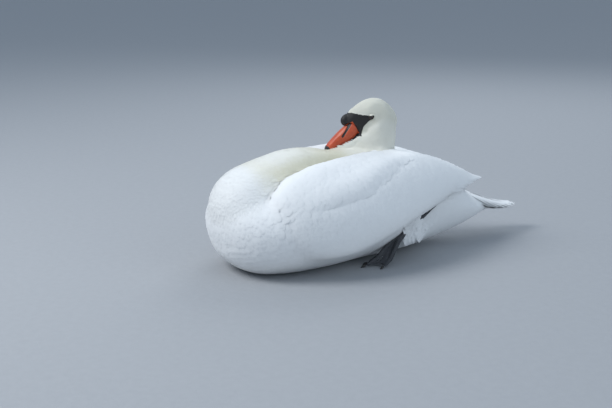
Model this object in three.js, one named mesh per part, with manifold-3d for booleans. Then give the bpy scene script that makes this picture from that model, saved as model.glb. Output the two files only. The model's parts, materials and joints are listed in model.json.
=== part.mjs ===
// A mute swan at rest on the ground, life size, with its neck laid back along its back and its head turned
// forward again, so that the bill lies on the neck.
//
// Units are millimetres and +Z is up. The bird faces -Y and its left side is +X. The shapes are laid out
// with y = 0 at the front of the breast and z = 0 at the ground, and the finished group is moved so that
// its origin is on the ground under the middle of its box.
//
// Each part is a closed body lofted from a few named sections. Parts that touch are cut by their
// neighbour, with a thin gap.

import * as THREE from "three";
import { mergeVertices } from "three/addons/utils/BufferGeometryUtils.js";
import Module from "manifold-3d";

const wasm = await Module();
wasm.setup();

// ------------------------------------------------------------------------------------ driving dimensions

const GAP = 0.3; // between parts that touch

const BREAST = 7; // y of the front of the breast
const RUMP = 708; // y of the end of the body under the tail
const TAIL_TIP = 811; // y of the end of the tail
const WING_TIP = 686; // y of the end of the folded flight feathers

const EYE_RADIUS = 6.4;
const EYE_OFFSET = 20.5; // an eye's centre from the middle of the head
const BILL_TIP = 121; // from the line between the eyes

const HEAD_AT = new THREE.Vector3(9, 382, 308); // the point midway between the eyes
const HEAD_TURN = THREE.MathUtils.degToRad(22); // to the bird's right of straight ahead
const HEAD_PITCH = THREE.MathUtils.degToRad(33); // bill down

const TARSUS_RADIUS = 6.5;
const TOE_RADIUS = 5.4;
const WEB_THICKNESS = 2.4;
const CLAW_LENGTH = 13;

const HOCK = new THREE.Vector3(92, 512, 121);
const TOE_ROOT = new THREE.Vector3(102, 424, 66);

// ----------------------------------------------------------------------------------- curves and sections

// A curve through [position, value] pairs that doesn't overshoot them (a monotone cubic).
function smooth(pairs) {
  const last = pairs.length - 1;
  const slope = (i) => (pairs[i + 1][1] - pairs[i][1]) / (pairs[i + 1][0] - pairs[i][0]);
  const tangents = pairs.map((pair, i) => {
    if (i === 0) return slope(0);
    if (i === last) return slope(last - 1);
    const before = slope(i - 1);
    const after = slope(i);
    return before * after <= 0 ? 0 : (2 * before * after) / (before + after);
  });
  return (position) => {
    let i = 0;
    while (i < last - 1 && position > pairs[i + 1][0]) i++;
    const step = pairs[i + 1][0] - pairs[i][0];
    const t = THREE.MathUtils.clamp((position - pairs[i][0]) / step, 0, 1);
    const [a, b] = [pairs[i][1], pairs[i + 1][1]];
    const [m, n] = [tangents[i] * step, tangents[i + 1] * step];
    const t2 = t * t;
    const t3 = t2 * t;
    return (2 * t3 - 3 * t2 + 1) * a + (t3 - 2 * t2 + t) * m + (3 * t2 - 2 * t3) * b + (t3 - t2) * n;
  };
}

// One smooth curve for each named value of a list of stations. Stations are placed along the body by
// `key`, from `start` to `end`, and the curves are read by the angle that a round end needs: 0 at the
// start and 1 at the end.
function stationCurves(stations, key, start, end) {
  const angle = (s) => Math.acos(1 - (2 * (s - start)) / (end - start)) / Math.PI;
  const names = Object.keys(stations[0]).filter((name) => name !== key);
  const curve = (name) => smooth(stations.map((s) => [angle(s[key]), s[name]]));
  return Object.fromEntries(names.map((name) => [name, curve(name)]));
}

const roundEnd = (along) => (1 - Math.cos(Math.PI * along)) / 2;

// How far a round-ended body that is larger all over by `grow` stands out, to the side and lengthways.
const sideways = (grow, along) => grow * Math.sin(Math.PI * along);
const lengthways = (grow, along) => -grow * Math.cos(Math.PI * along);

// A superellipse's cosine and sine: power 1 is an ellipse, and less is squarer.
const rounded = (value, power) => Math.sign(value) * Math.abs(value) ** power;

// ------------------------------------------------------------------------------------------------ solids

// Six times the volume inside a closed shape, less than zero when its faces point inwards.
function signedVolume(corners, index) {
  let sum = 0;
  for (let i = 0; i < index.length; i += 3) {
    const [a, b, c] = [0, 1, 2].map((k) => new THREE.Vector3().fromArray(corners, index[i + k] * 3));
    sum += a.dot(b.cross(c));
  }
  return sum;
}

function toSolid(geometry) {
  const bare = new THREE.BufferGeometry();
  bare.setAttribute("position", geometry.getAttribute("position"));
  bare.setIndex(geometry.index);
  const merged = mergeVertices(bare, 1e-3);
  const corners = merged.attributes.position.array;
  const index = merged.index.array;
  if (signedVolume(corners, index) < 0) index.reverse();
  const mesh = new wasm.Mesh({
    numProp: 3,
    vertProperties: new Float32Array(corners),
    triVerts: new Uint32Array(index),
  });
  return new wasm.Manifold(mesh);
}

function toGeometry(solid) {
  const { vertProperties, triVerts, numProp } = solid.getMesh();
  const corners = new Float32Array((vertProperties.length / numProp) * 3);
  for (let i = 0; i * numProp < vertProperties.length; i++) {
    corners.set(vertProperties.subarray(i * numProp, i * numProp + 3), i * 3);
  }
  const geometry = new THREE.BufferGeometry();
  geometry.setAttribute("position", new THREE.BufferAttribute(corners, 3));
  geometry.setIndex(new THREE.BufferAttribute(new Uint32Array(triVerts), 1));
  return geometry;
}

// Moves each corner of a closed three.js shape to where `place(along, around, inner)` says. The shape's
// own Y axis runs along the body, from 0 to 1, and the angle goes round it, from the bird's left over the
// top. Both are rounded to the shape's own rings and sides, so that corners at one place stay together.
function reshape(geometry, sides, rings, alongOf, place) {
  const position = geometry.getAttribute("position");
  for (let i = 0; i < position.count; i++) {
    const [x, y, z] = [position.getX(i), position.getY(i), position.getZ(i)];
    const side = Math.round((Math.atan2(z, x) / (2 * Math.PI)) * sides);
    const around = (((side + sides) % sides) / sides) * 2 * Math.PI;
    const along = Math.round(alongOf(y) * rings) / rings;
    const point = place(along, around, Math.hypot(x, z) < 1e-6);
    position.setXYZ(i, point.x, point.y, point.z);
  }
  return toSolid(geometry);
}

// A body with round ends, as a sphere is.
function roundBody(sides, rings, place) {
  const sphere = new THREE.SphereGeometry(1, sides, rings);
  const angle = (y) => Math.acos(THREE.MathUtils.clamp(y, -1, 1)) / Math.PI;
  return reshape(sphere, sides, rings, angle, place);
}

// A length of a body with flat ends, as a cylinder is.
function flatEndedBody(sides, rings, place) {
  const cylinder = new THREE.CylinderGeometry(1, 1, 1, sides, rings);
  return reshape(cylinder, sides, rings, (y) => 0.5 - y, place);
}

const largestBody = (solid) => solid.decompose().sort((a, b) => b.volume() - a.volume())[0];

function cutBy(solid, ...cutters) {
  return largestBody(cutters.reduce((left, cutter) => left.subtract(cutter), solid));
}

const mirrored = (solid) => toSolid(toGeometry(solid).scale(-1, 1, 1));

// ------------------------------------------------------------------------------------------------- trunk

// half: half the width; top, bottom and widest: heights; keel: 1 where the underside is round, more where
// it is narrower towards the belly. The ground flattens the belly's lowest part.
const trunkStations = [
  { y: BREAST, half: 0, top: 112, bottom: 112, widest: 112, keel: 1 },
  { y: 14, half: 54, top: 140, bottom: 78, widest: 110, keel: 1 },
  { y: 30, half: 88, top: 160, bottom: 38, widest: 106, keel: 0.95 },
  { y: 58, half: 120, top: 174, bottom: 9, widest: 102, keel: 0.9 },
  { y: 95, half: 142, top: 180, bottom: -4, widest: 98, keel: 0.9 },
  { y: 150, half: 158, top: 178, bottom: -7, widest: 94, keel: 1 },
  { y: 220, half: 166, top: 172, bottom: -6, widest: 94, keel: 1.15 },
  { y: 300, half: 158, top: 170, bottom: -5, widest: 98, keel: 1.4 },
  { y: 380, half: 130, top: 174, bottom: -4, widest: 100, keel: 1.4 },
  { y: 440, half: 98, top: 182, bottom: -2, widest: 98, keel: 1.1 },
  { y: 500, half: 84, top: 190, bottom: 5, widest: 96, keel: 1 },
  { y: 560, half: 80, top: 172, bottom: 17, widest: 94, keel: 1 },
  { y: 620, half: 70, top: 134, bottom: 33, widest: 86, keel: 1 },
  { y: 662, half: 54, top: 98, bottom: 47, widest: 76, keel: 1 },
  { y: 694, half: 32, top: 76, bottom: 58, widest: 68, keel: 1 },
  { y: RUMP, half: 0, top: 66, bottom: 66, widest: 66, keel: 1 },
];

function trunk(grow = 0) {
  const curves = stationCurves(trunkStations, "y", BREAST, RUMP);
  return roundBody(24, 18, (along, around) => {
    const above = Math.sin(around) > 0;
    const widest = curves.widest(along);
    const out = sideways(grow, along);
    const edge = above ? curves.top(along) + out : curves.bottom(along) - out;
    const across = (curves.half(along) + out) * rounded(Math.cos(around), 0.92);
    const rise = Math.abs(edge - widest) * rounded(Math.sin(around), above ? 0.92 : curves.keel(along));
    const y = BREAST + (RUMP - BREAST) * roundEnd(along) + lengthways(grow, along);
    return new THREE.Vector3(across, y, widest + rise);
  }).trimByPlane([0, 0, 1], 0);
}

// -------------------------------------------------------------------------------------------------- neck

// The neck's foot: the thick fold that rises from the breast and turns back. half, top, bottom and widest
// as in the trunk.
const neckFootStations = [
  { y: 8, half: 0, top: 132, bottom: 132, widest: 132 },
  { y: 15, half: 42, top: 168, bottom: 98, widest: 134 },
  { y: 32, half: 68, top: 196, bottom: 74, widest: 138 },
  { y: 74, half: 84, top: 224, bottom: 70, widest: 150 },
  { y: 123, half: 79, top: 239, bottom: 84, widest: 168 },
  { y: 178, half: 66, top: 251, bottom: 120, widest: 189 },
  { y: 215, half: 57, top: 253, bottom: 146, widest: 199 },
  { y: 260, half: 50, top: 246, bottom: 158, widest: 202 },
  { y: 300, half: 0, top: 204, bottom: 204, widest: 204 },
];

function neckFoot(grow = 0) {
  const start = neckFootStations[0].y;
  const end = neckFootStations[neckFootStations.length - 1].y;
  const curves = stationCurves(neckFootStations, "y", start, end);
  return roundBody(18, 15, (along, around) => {
    const widest = curves.widest(along);
    const out = sideways(grow, along);
    const edge = Math.sin(around) > 0 ? curves.top(along) + out : curves.bottom(along) - out;
    const across = (curves.half(along) + out) * Math.cos(around);
    const y = start + (end - start) * roundEnd(along) + lengthways(grow, along);
    return new THREE.Vector3(across, y, widest + Math.abs(edge - widest) * Math.sin(around));
  });
}

// The rest of the neck: its middle line from the foot, back along the back, round the bend and forward to
// the head, with its half width and half depth at each point.
const neckStations = [
  { at: [0, 150, 194], half: 66, deep: 56 },
  { at: [-1, 215, 200], half: 57, deep: 53 },
  { at: [-4, 275, 201], half: 48, deep: 44 },
  { at: [-3, 332, 206], half: 41, deep: 39 },
  { at: [3, 376, 214], half: 37, deep: 37 },
  { at: [11, 402, 236], half: 35, deep: 35 },
  { at: [17, 409, 264], half: 33, deep: 34 },
  { at: [18, 402, 289], half: 32, deep: 35 },
  { at: [17, 393, 301], half: 28, deep: 32 },
];
const neckLine = new THREE.CatmullRomCurve3(neckStations.map((s) => new THREE.Vector3(...s.at)));
const stationShare = (i) => i / (neckStations.length - 1);
const neckHalf = smooth(neckStations.map((s, i) => [stationShare(i), s.half]));
const neckDeep = smooth(neckStations.map((s, i) => [stationShare(i), s.deep]));

function neckTube(grow = 0) {
  return flatEndedBody(18, 17, (share, around, inner) => {
    const forward = neckLine.getTangent(share);
    const left = new THREE.Vector3(1, 0, 0).addScaledVector(forward, -forward.x).normalize();
    const up = new THREE.Vector3().crossVectors(left, forward);
    const point = neckLine.getPoint(share);
    if (inner) return point;
    return point
      .addScaledVector(left, (neckHalf(share) + grow) * Math.cos(around))
      .addScaledVector(up, (neckDeep(share) + grow) * Math.sin(around));
  });
}

// ----------------------------------------------------------------------------------- head, eyes and bill

// The head's own frame: forward along the line from the eyes to the bill's tip, up to the crown, left to
// the left eye.
const ahead = new THREE.Vector3(
  -Math.sin(HEAD_TURN) * Math.cos(HEAD_PITCH),
  -Math.cos(HEAD_TURN) * Math.cos(HEAD_PITCH),
  -Math.sin(HEAD_PITCH),
);
const toLeft = new THREE.Vector3(Math.cos(HEAD_TURN), -Math.sin(HEAD_TURN), 0);
const toCrown = new THREE.Vector3().crossVectors(toLeft, ahead).negate();
const inHead = (forward, left, up) =>
  HEAD_AT.clone().addScaledVector(ahead, forward).addScaledVector(toLeft, left).addScaledVector(toCrown, up);

// A body along the head's forward axis, with its half width, top and bottom at each station.
function headBody(stations, sides, rings, power, grow = 0) {
  const start = stations[0].forward;
  const end = stations[stations.length - 1].forward;
  const curves = stationCurves(stations, "forward", start, end);
  return roundBody(sides, rings, (along, around) => {
    const [top, bottom] = [curves.top(along), curves.bottom(along)];
    const middle = (top + bottom) / 2;
    const out = sideways(grow, along);
    const rise = ((top - bottom) / 2 + out) * rounded(Math.sin(around), power);
    const across = (curves.half(along) + out) * rounded(Math.cos(around), power);
    const reach = Math.sign(end - start) * lengthways(grow, along);
    return inHead(start + (end - start) * roundEnd(along) + reach, across, middle + rise);
  });
}

const headStations = [
  { forward: 52, half: 0, top: -2, bottom: -2 },
  { forward: 49, half: 12, top: 22, bottom: -22 },
  { forward: 40, half: 16.5, top: 30, bottom: -28 },
  { forward: 25, half: 20, top: 36, bottom: -33 },
  { forward: 8, half: 24, top: 38.5, bottom: -36 },
  { forward: -12, half: 28, top: 36, bottom: -37 },
  { forward: -29, half: 28.5, top: 25, bottom: -44 },
  { forward: -39, half: 25, top: 13, bottom: -52 },
  { forward: -46, half: 17, top: -4, bottom: -52 },
  { forward: -50, half: 0, top: -30, bottom: -30 },
];
const head = (grow = 0) => headBody(headStations, 18, 12, 0.95, grow);

// The feathers of the throat and the neck fill the inside of the bend, up to the bill, which lies in them.
const crookStations = [
  { forward: 82, half: 0, top: -30, bottom: -30 },
  { forward: 74, half: 16, top: -19, bottom: -44 },
  { forward: 55, half: 24, top: -17, bottom: -56 },
  { forward: 32, half: 29, top: -20, bottom: -62 },
  { forward: 8, half: 32, top: -28, bottom: -64 },
  { forward: -22, half: 0, top: -45, bottom: -45 },
];
const crook = (grow = 0) => headBody(crookStations, 12, 8, 0.8, grow);

const upperBillStations = [
  { forward: 36, half: 0, top: -4, bottom: -4 },
  { forward: 40, half: 14.5, top: 14, bottom: -18 },
  { forward: 50, half: 16.5, top: 13, bottom: -20 },
  { forward: 62, half: 16.8, top: 11, bottom: -19.5 },
  { forward: 80, half: 15.8, top: 8, bottom: -16.5 },
  { forward: 98, half: 15, top: 5, bottom: -13 },
  { forward: 111, half: 13, top: 2.5, bottom: -10.5 },
  { forward: 118, half: 8, top: -0.5, bottom: -9.5 },
  { forward: BILL_TIP, half: 0, top: -6, bottom: -6 },
];
const upperBill = (grow = 0) => headBody(upperBillStations, 12, 12, 0.85, grow);

const lowerBillStations = [
  { forward: 42, half: 0, top: -24, bottom: -24 },
  { forward: 46, half: 12.4, top: -13, bottom: -30 },
  { forward: 62, half: 13.6, top: -11, bottom: -28.5 },
  { forward: 84, half: 12.8, top: -8, bottom: -24 },
  { forward: 104, half: 11.6, top: -5, bottom: -18 },
  { forward: 113, half: 6.5, top: -7, bottom: -14 },
  { forward: 115, half: 0, top: -11, bottom: -11 },
];
const lowerBill = (grow = 0) => headBody(lowerBillStations, 10, 8, 0.9, grow);

// The round black knob on the bill's root, below the forehead.
const knobStations = [
  { forward: 33, half: 0, top: 21, bottom: 21 },
  { forward: 38, half: 7.5, top: 32, bottom: 12 },
  { forward: 47, half: 9.2, top: 33.5, bottom: 7 },
  { forward: 55.5, half: 8, top: 29.5, bottom: 9 },
  { forward: 60.5, half: 0, top: 19.5, bottom: 19.5 },
];
const knob = (grow = 0) => headBody(knobStations, 10, 8, 1, grow);

function eye(side, grow = 0) {
  const at = inHead(0, side * EYE_OFFSET, 0);
  const ball = new THREE.SphereGeometry(EYE_RADIUS + grow, 10, 6).translate(at.x, at.y, at.z);
  return toSolid(ball);
}

// --------------------------------------------------------------------------- wings and shoulder feathers

// A flattened body along Y. x and z: its middle; wide and thick: half its section's long and short way;
// lean: how far the long way leans in over the back, in degrees from upright.
function leaningBody(stations, sides, rings, power, grow = 0) {
  const start = stations[0].y;
  const end = stations[stations.length - 1].y;
  const curves = stationCurves(stations, "y", start, end);
  return roundBody(sides, rings, (along, around) => {
    const lean = THREE.MathUtils.degToRad(curves.lean(along));
    const out = (curves.thick(along) + sideways(grow, along)) * rounded(Math.cos(around), power);
    const up = (curves.wide(along) + sideways(grow, along)) * rounded(Math.sin(around), power);
    return new THREE.Vector3(
      curves.x(along) + out * Math.cos(lean) - up * Math.sin(lean),
      start + (end - start) * roundEnd(along) + lengthways(grow, along),
      curves.z(along) + out * Math.sin(lean) + up * Math.cos(lean),
    );
  });
}

const wingStations = [
  { y: 92, x: 118, z: 118, wide: 0, thick: 0, lean: 8 },
  { y: 112, x: 124, z: 120, wide: 48, thick: 26, lean: 8 },
  { y: 160, x: 134, z: 120, wide: 74, thick: 37, lean: 10 },
  { y: 230, x: 141, z: 126, wide: 84, thick: 42, lean: 14 },
  { y: 310, x: 133, z: 145, wide: 86, thick: 42, lean: 22 },
  { y: 390, x: 115, z: 163, wide: 82, thick: 39, lean: 31 },
  { y: 460, x: 95, z: 170, wide: 71, thick: 33, lean: 36 },
  { y: 530, x: 72, z: 167, wide: 53, thick: 25, lean: 36 },
  { y: 595, x: 50, z: 157, wide: 34, thick: 16, lean: 32 },
  { y: 640, x: 38, z: 147, wide: 19, thick: 9, lean: 28 },
  { y: 662, x: 32, z: 142, wide: 0, thick: 0, lean: 26 },
];
const wing = (grow = 0) => leaningBody(wingStations, 14, 14, 0.95, grow);

const primariesStations = [
  { y: 540, x: 48, z: 150, wide: 0, thick: 0, lean: 50 },
  { y: 556, x: 45, z: 150, wide: 26, thick: 12, lean: 50 },
  { y: 590, x: 39, z: 150, wide: 26, thick: 12, lean: 48 },
  { y: 630, x: 32, z: 148, wide: 20, thick: 9, lean: 44 },
  { y: 662, x: 27, z: 145, wide: 11, thick: 5.5, lean: 40 },
  { y: WING_TIP, x: 24, z: 141, wide: 0, thick: 0, lean: 36 },
];
const primaries = (grow = 0) => leaningBody(primariesStations, 10, 7, 1, grow);

const scapularStations = [
  { y: 84, x: 106, z: 152, wide: 0, thick: 0, lean: 40 },
  { y: 104, x: 110, z: 162, wide: 34, thick: 19, lean: 40 },
  { y: 150, x: 112, z: 169, wide: 58, thick: 33, lean: 42 },
  { y: 220, x: 106, z: 181, wide: 67, thick: 37, lean: 44 },
  { y: 300, x: 94, z: 187, wide: 64, thick: 36, lean: 46 },
  { y: 380, x: 81, z: 199, wide: 53, thick: 31, lean: 48 },
  { y: 450, x: 65, z: 198, wide: 43, thick: 25, lean: 54 },
  { y: 510, x: 48, z: 190, wide: 36, thick: 22, lean: 62 },
  { y: 570, x: 37, z: 176, wide: 27, thick: 15, lean: 64 },
  { y: 610, x: 32, z: 163, wide: 0, thick: 0, lean: 62 },
];
const scapulars = (grow = 0) => leaningBody(scapularStations, 12, 10, 1, grow);

// -------------------------------------------------------------------------------------------------- tail

// half: half the width; top and bottom: heights. The tail is a short wedge of stiff feathers, highest
// along its middle.
const tailStations = [
  { y: 606, half: 0, top: 104, bottom: 104 },
  { y: 628, half: 40, top: 122, bottom: 86 },
  { y: 664, half: 49, top: 107, bottom: 74 },
  { y: 700, half: 48, top: 92, bottom: 67 },
  { y: 738, half: 41, top: 79, bottom: 62 },
  { y: 775, half: 28, top: 70, bottom: 59 },
  { y: 800, half: 14, top: 65, bottom: 58 },
  { y: TAIL_TIP, half: 0, top: 61, bottom: 61 },
];

function tail(grow = 0) {
  const start = tailStations[0].y;
  const curves = stationCurves(tailStations, "y", start, TAIL_TIP);
  return roundBody(14, 10, (along, around) => {
    const [top, bottom] = [curves.top(along), curves.bottom(along)];
    const half = curves.half(along) + sideways(grow, along);
    const droop = 0.16 * half * Math.cos(around) ** 2;
    const rise = ((top - bottom) / 2 + sideways(grow, along)) * rounded(Math.sin(around), 1.25);
    const y = start + (TAIL_TIP - start) * roundEnd(along) + lengthways(grow, along);
    return new THREE.Vector3(half * Math.cos(around), y, (top + bottom) / 2 + rise - droop);
  });
}

// ---------------------------------------------------------------------------------- legs, feet and claws

// A round tube from one point to another through any between, with a radius for each point.
function limb(points, radii, sides, rings, grow = 0) {
  const line = new THREE.CatmullRomCurve3(points);
  const radius = smooth(radii.map((r, i) => [i / (radii.length - 1), r]));
  return roundBody(sides, rings, (along, around) => {
    const share = roundEnd(along);
    const forward = line.getTangent(share);
    const left = new THREE.Vector3(1, 0, 0).addScaledVector(forward, -forward.x).normalize();
    const up = new THREE.Vector3().crossVectors(left, forward);
    const full = (radius(share) + grow) * Math.sin(Math.PI * along) ** 0.5;
    return line
      .getPoint(share)
      .addScaledVector(forward, lengthways(grow, along))
      .addScaledVector(left, full * Math.cos(around))
      .addScaledVector(up, full * Math.sin(around));
  });
}

// The bare leg: from the hock, under the edge of the wing, forward and down to the root of the toes.
const leg = (grow = 0) =>
  limb(
    [HOCK, HOCK.clone().lerp(TOE_ROOT, 0.25), HOCK.clone().lerp(TOE_ROOT, 0.75), TOE_ROOT],
    [11, TARSUS_RADIUS, TARSUS_RADIUS, 9],
    8,
    8,
    grow,
  );

// Where each toe ends and its claw begins, and how far the claw's point drops from there. The three front
// toes slope down to the ground, and the hind one hangs clear of it.
const digits = {
  inner: { end: new THREE.Vector3(93, 328, 4.6), clawDrop: 3.2 },
  middle: { end: new THREE.Vector3(108, 313, 4.6), clawDrop: 3.2 },
  outer: { end: new THREE.Vector3(134, 342, 4.6), clawDrop: 3.2 },
  hind: { end: new THREE.Vector3(99, 438, 42), clawDrop: 12 },
};

const raised = (point, height) => point.clone().add(new THREE.Vector3(0, 0, height));

function toeLine({ end }) {
  const bend = (TOE_ROOT.z - end.z) / 10;
  const along = (share, lift) => raised(TOE_ROOT.clone().lerp(end, share), lift);
  return [along(0, 0), along(0.35, bend), along(0.75, -bend), along(1, 0)];
}

const toeRadii = [7.5, TOE_RADIUS + 0.6, TOE_RADIUS, 4.2];
const toe = (digit, grow = 0) => limb(toeLine(digit), toeRadii, 6, 5, grow);

// The web between two toes, thin, with a hollow front edge.
function web(a, b) {
  const [lineA, lineB] = [a, b].map((digit) => new THREE.CatmullRomCurve3(toeLine(digit)));
  const sheet = new THREE.BoxGeometry(1, 1, 1, 2, 3, 1);
  const position = sheet.getAttribute("position");
  for (let i = 0; i < position.count; i++) {
    const between = position.getX(i) + 0.5;
    const share = (position.getY(i) + 0.5) * (0.94 - 0.56 * between * (1 - between));
    const point = lineA.getPoint(share).lerp(lineB.getPoint(share), between);
    position.setXYZ(i, point.x, point.y, point.z + (position.getZ(i) - 0.2) * WEB_THICKNESS);
  }
  return toSolid(sheet);
}

function claw({ end, clawDrop }, grow = 0) {
  const out = end.clone().sub(TOE_ROOT).setZ(0).normalize();
  const at = (share, fall) => raised(end, -fall).addScaledVector(out, CLAW_LENGTH * share);
  const line = [at(-0.1, 0), at(0.5, clawDrop / 4), at(1, clawDrop)];
  return limb(line, [3.5, 2.8, 1.1], 6, 4, grow).trimByPlane([0, 0, 1], 0);
}

function foot() {
  const { inner, middle, outer } = digits;
  const all = Object.values(digits);
  const webs = web(inner, middle).add(web(middle, outer));
  const joined = all.reduce((solid, digit) => solid.add(toe(digit)), webs);
  return cutBy(joined.trimByPlane([0, 0, 1], 0), leg(GAP), ...all.map((digit) => claw(digit, GAP)));
}

// ------------------------------------------------------------------------------------ the parts together

const group = new THREE.Group();

const colours = {
  plumage: new THREE.MeshStandardMaterial({ color: 0xf2f2ee, roughness: 0.85, metalness: 0 }),
  neckPlumage: new THREE.MeshStandardMaterial({ color: 0xeae4d2, roughness: 0.9, metalness: 0 }),
  orange: new THREE.MeshStandardMaterial({ color: 0xd2592f, roughness: 0.45, metalness: 0 }),
  black: new THREE.MeshStandardMaterial({ color: 0x151312, roughness: 0.5, metalness: 0 }),
  eye: new THREE.MeshStandardMaterial({ color: 0x1d120c, roughness: 0.08, metalness: 0 }),
  leg: new THREE.MeshStandardMaterial({ color: 0x2e2f33, roughness: 0.65, metalness: 0 }),
};

function addPart(name, solid, material) {
  const mesh = new THREE.Mesh(toGeometry(solid), material);
  mesh.name = name;
  group.add(mesh);
}

const NECK_SEAMS = [215, 330]; // y where the neck's three lengths meet
const afterSeam = (solid, seam) => solid.trimByPlane([0, 1, 0], seam + GAP / 2);
const beforeSeam = (solid, seam) => solid.trimByPlane([0, -1, 0], -seam + GAP / 2);

const trunkRoom = trunk(GAP);
const neckRoom = neckTube(GAP).add(neckFoot(GAP)).add(crook(GAP));
const hornRoom = upperBill(GAP).add(lowerBill(GAP)).add(knob(GAP));
const eyeRoom = eye(1, GAP).add(eye(-1, GAP));
const headRoom = head(GAP).add(hornRoom).add(eyeRoom);

addPart("trunk", trunk(), colours.plumage);
addPart("neck_lower", cutBy(beforeSeam(neckFoot(), NECK_SEAMS[0]), trunkRoom), colours.plumage);
const neck = neckTube().add(crook());
const middleNeck = beforeSeam(afterSeam(neck, NECK_SEAMS[0]), NECK_SEAMS[1]);
addPart("neck_middle", cutBy(middleNeck, trunkRoom, headRoom), colours.neckPlumage);
addPart("neck_upper", cutBy(afterSeam(neck, NECK_SEAMS[1]), trunkRoom, headRoom), colours.neckPlumage);

addPart("head", cutBy(head(), eyeRoom, hornRoom), colours.neckPlumage);
addPart("eye_left", eye(1), colours.eye);
addPart("eye_right", eye(-1), colours.eye);
addPart("bill_knob", knob(), colours.black);
addPart("bill_upper", cutBy(upperBill(), knob(GAP)), colours.orange);
addPart("bill_lower", cutBy(lowerBill(), upperBill(GAP)), colours.orange);

const tailRoom = tail(GAP);
addPart("tail", cutBy(tail(), trunkRoom), colours.plumage);

for (const [side, on] of [["left", (solid) => solid], ["right", mirrored]]) {
  const underWing = [trunkRoom, neckRoom, on(leg(GAP)), on(scapulars(GAP))];
  addPart(`scapulars_${side}`, cutBy(on(scapulars()), trunkRoom, neckRoom), colours.plumage);
  addPart(`wing_${side}`, cutBy(on(wing()), ...underWing), colours.plumage);
  const feathers = cutBy(on(primaries()), ...underWing, on(wing(GAP)), tailRoom);
  addPart(`flight_feathers_${side}`, feathers, colours.plumage);
  addPart(`leg_${side}`, cutBy(on(leg()), trunkRoom), colours.leg);
  addPart(`foot_${side}`, cutBy(on(foot()), trunkRoom), colours.leg);
  for (const [name, digit] of Object.entries(digits)) {
    addPart(`claw_${name}_${side}`, on(claw(digit)), colours.black);
  }
}

group.updateMatrixWorld(true);
const box = new THREE.Box3().setFromObject(group);
const middle = box.getCenter(new THREE.Vector3());
group.position.set(-middle.x, -middle.y, 0);

export default group;
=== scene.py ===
# %% [markdown]
# # A mute swan asleep on the ground
# The bird lies on its belly with its neck folded along its back and its bill resting in the neck feathers.
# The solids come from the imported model: they give every outline, out to the tips of the feathers. This
# script dresses them. One skin replaces all the solids of flesh, vanes of real mesh lie over it like
# shingles, and the bare parts (bill, eyes, legs and feet) get finer meshes and their own finishes.

# %% Load the frame
import json
import math

import bmesh
import bpy
import numpy as np
from mathutils import Matrix, Vector, noise
from mathutils.bvhtree import BVHTree

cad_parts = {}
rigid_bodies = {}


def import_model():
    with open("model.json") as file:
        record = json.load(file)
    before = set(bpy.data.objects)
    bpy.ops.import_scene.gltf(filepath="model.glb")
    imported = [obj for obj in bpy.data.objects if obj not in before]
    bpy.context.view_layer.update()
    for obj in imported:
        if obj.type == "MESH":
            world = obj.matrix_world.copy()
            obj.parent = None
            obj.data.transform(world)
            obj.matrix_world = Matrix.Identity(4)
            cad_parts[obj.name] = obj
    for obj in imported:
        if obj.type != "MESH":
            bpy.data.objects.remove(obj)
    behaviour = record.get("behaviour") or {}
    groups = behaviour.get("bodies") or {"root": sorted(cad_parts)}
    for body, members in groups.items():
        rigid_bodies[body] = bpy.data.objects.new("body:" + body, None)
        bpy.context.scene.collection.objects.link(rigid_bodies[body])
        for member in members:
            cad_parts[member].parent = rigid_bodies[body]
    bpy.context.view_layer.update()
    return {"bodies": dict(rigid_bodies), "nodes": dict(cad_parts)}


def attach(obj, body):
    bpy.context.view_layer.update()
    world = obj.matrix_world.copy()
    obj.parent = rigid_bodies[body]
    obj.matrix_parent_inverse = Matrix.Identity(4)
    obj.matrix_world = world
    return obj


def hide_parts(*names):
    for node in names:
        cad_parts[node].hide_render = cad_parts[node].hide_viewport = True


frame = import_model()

MM = 0.001
body_name = next(iter(frame["bodies"]))
chance = np.random.default_rng(11)
print("solids:", len(frame["nodes"]), "on body", body_name)

# %% [markdown]
# ## Camera
# The view is from the bird's front left, a little above it. A longer lens than the eye's keeps the body's
# proportions calm. The camera could be aimed by a constraint, but a fixed turn is simpler and can't slip.

# %% Camera
CAMERA_AT = Vector((2.083, -1.3825, 0.700))
CAMERA_DOWN, CAMERA_ROUND = math.radians(13.4), math.radians(60)
LENS_MM, SENSOR_MM = 67.65, 36.0

camera_data = bpy.data.cameras.new("camera")
camera_data.lens, camera_data.sensor_width = LENS_MM, SENSOR_MM
camera = bpy.data.objects.new("camera", camera_data)
camera.location = CAMERA_AT
camera.rotation_euler = (math.pi / 2 - CAMERA_DOWN, 0, CAMERA_ROUND)
bpy.context.scene.collection.objects.link(camera)
bpy.context.scene.camera = camera
print("camera", round((CAMERA_AT - Vector((0, 0, 0.15))).length, 2), "m from the bird")

# %% [markdown]
# ## Shader helpers
# A material could be wired up node by node, but a pattern is easier to read as a sum. Wire wraps one socket
# and turns + - * into Math nodes.


# %% Wires
class Wire:
    """One output socket of a shader, so that maths on it is written as an expression."""

    def __init__(self, shader, socket):
        self.shader, self.socket = shader, socket

    def maths(self, operation, *values):
        return self.shader.node("ShaderNodeMath", {"operation": operation}, dict(enumerate(values)))

    def __add__(self, other):
        return self.maths("ADD", self, other)

    def __radd__(self, other):
        return self.maths("ADD", other, self)

    def __sub__(self, other):
        return self.maths("SUBTRACT", self, other)

    def __rsub__(self, other):
        return self.maths("SUBTRACT", other, self)

    def __mul__(self, other):
        return self.maths("MULTIPLY", self, other)

    def __rmul__(self, other):
        return self.maths("MULTIPLY", other, self)

    def sin(self):
        return self.maths("SINE", self)

    def abs(self):
        return self.maths("ABSOLUTE", self)

    def between(self, low, high):
        """0 below low, 1 above high, smooth between."""
        settings = {"interpolation_type": "SMOOTHSTEP"}
        return self.shader.node("ShaderNodeMapRange", settings, {0: self, 1: low, 2: high})


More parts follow.
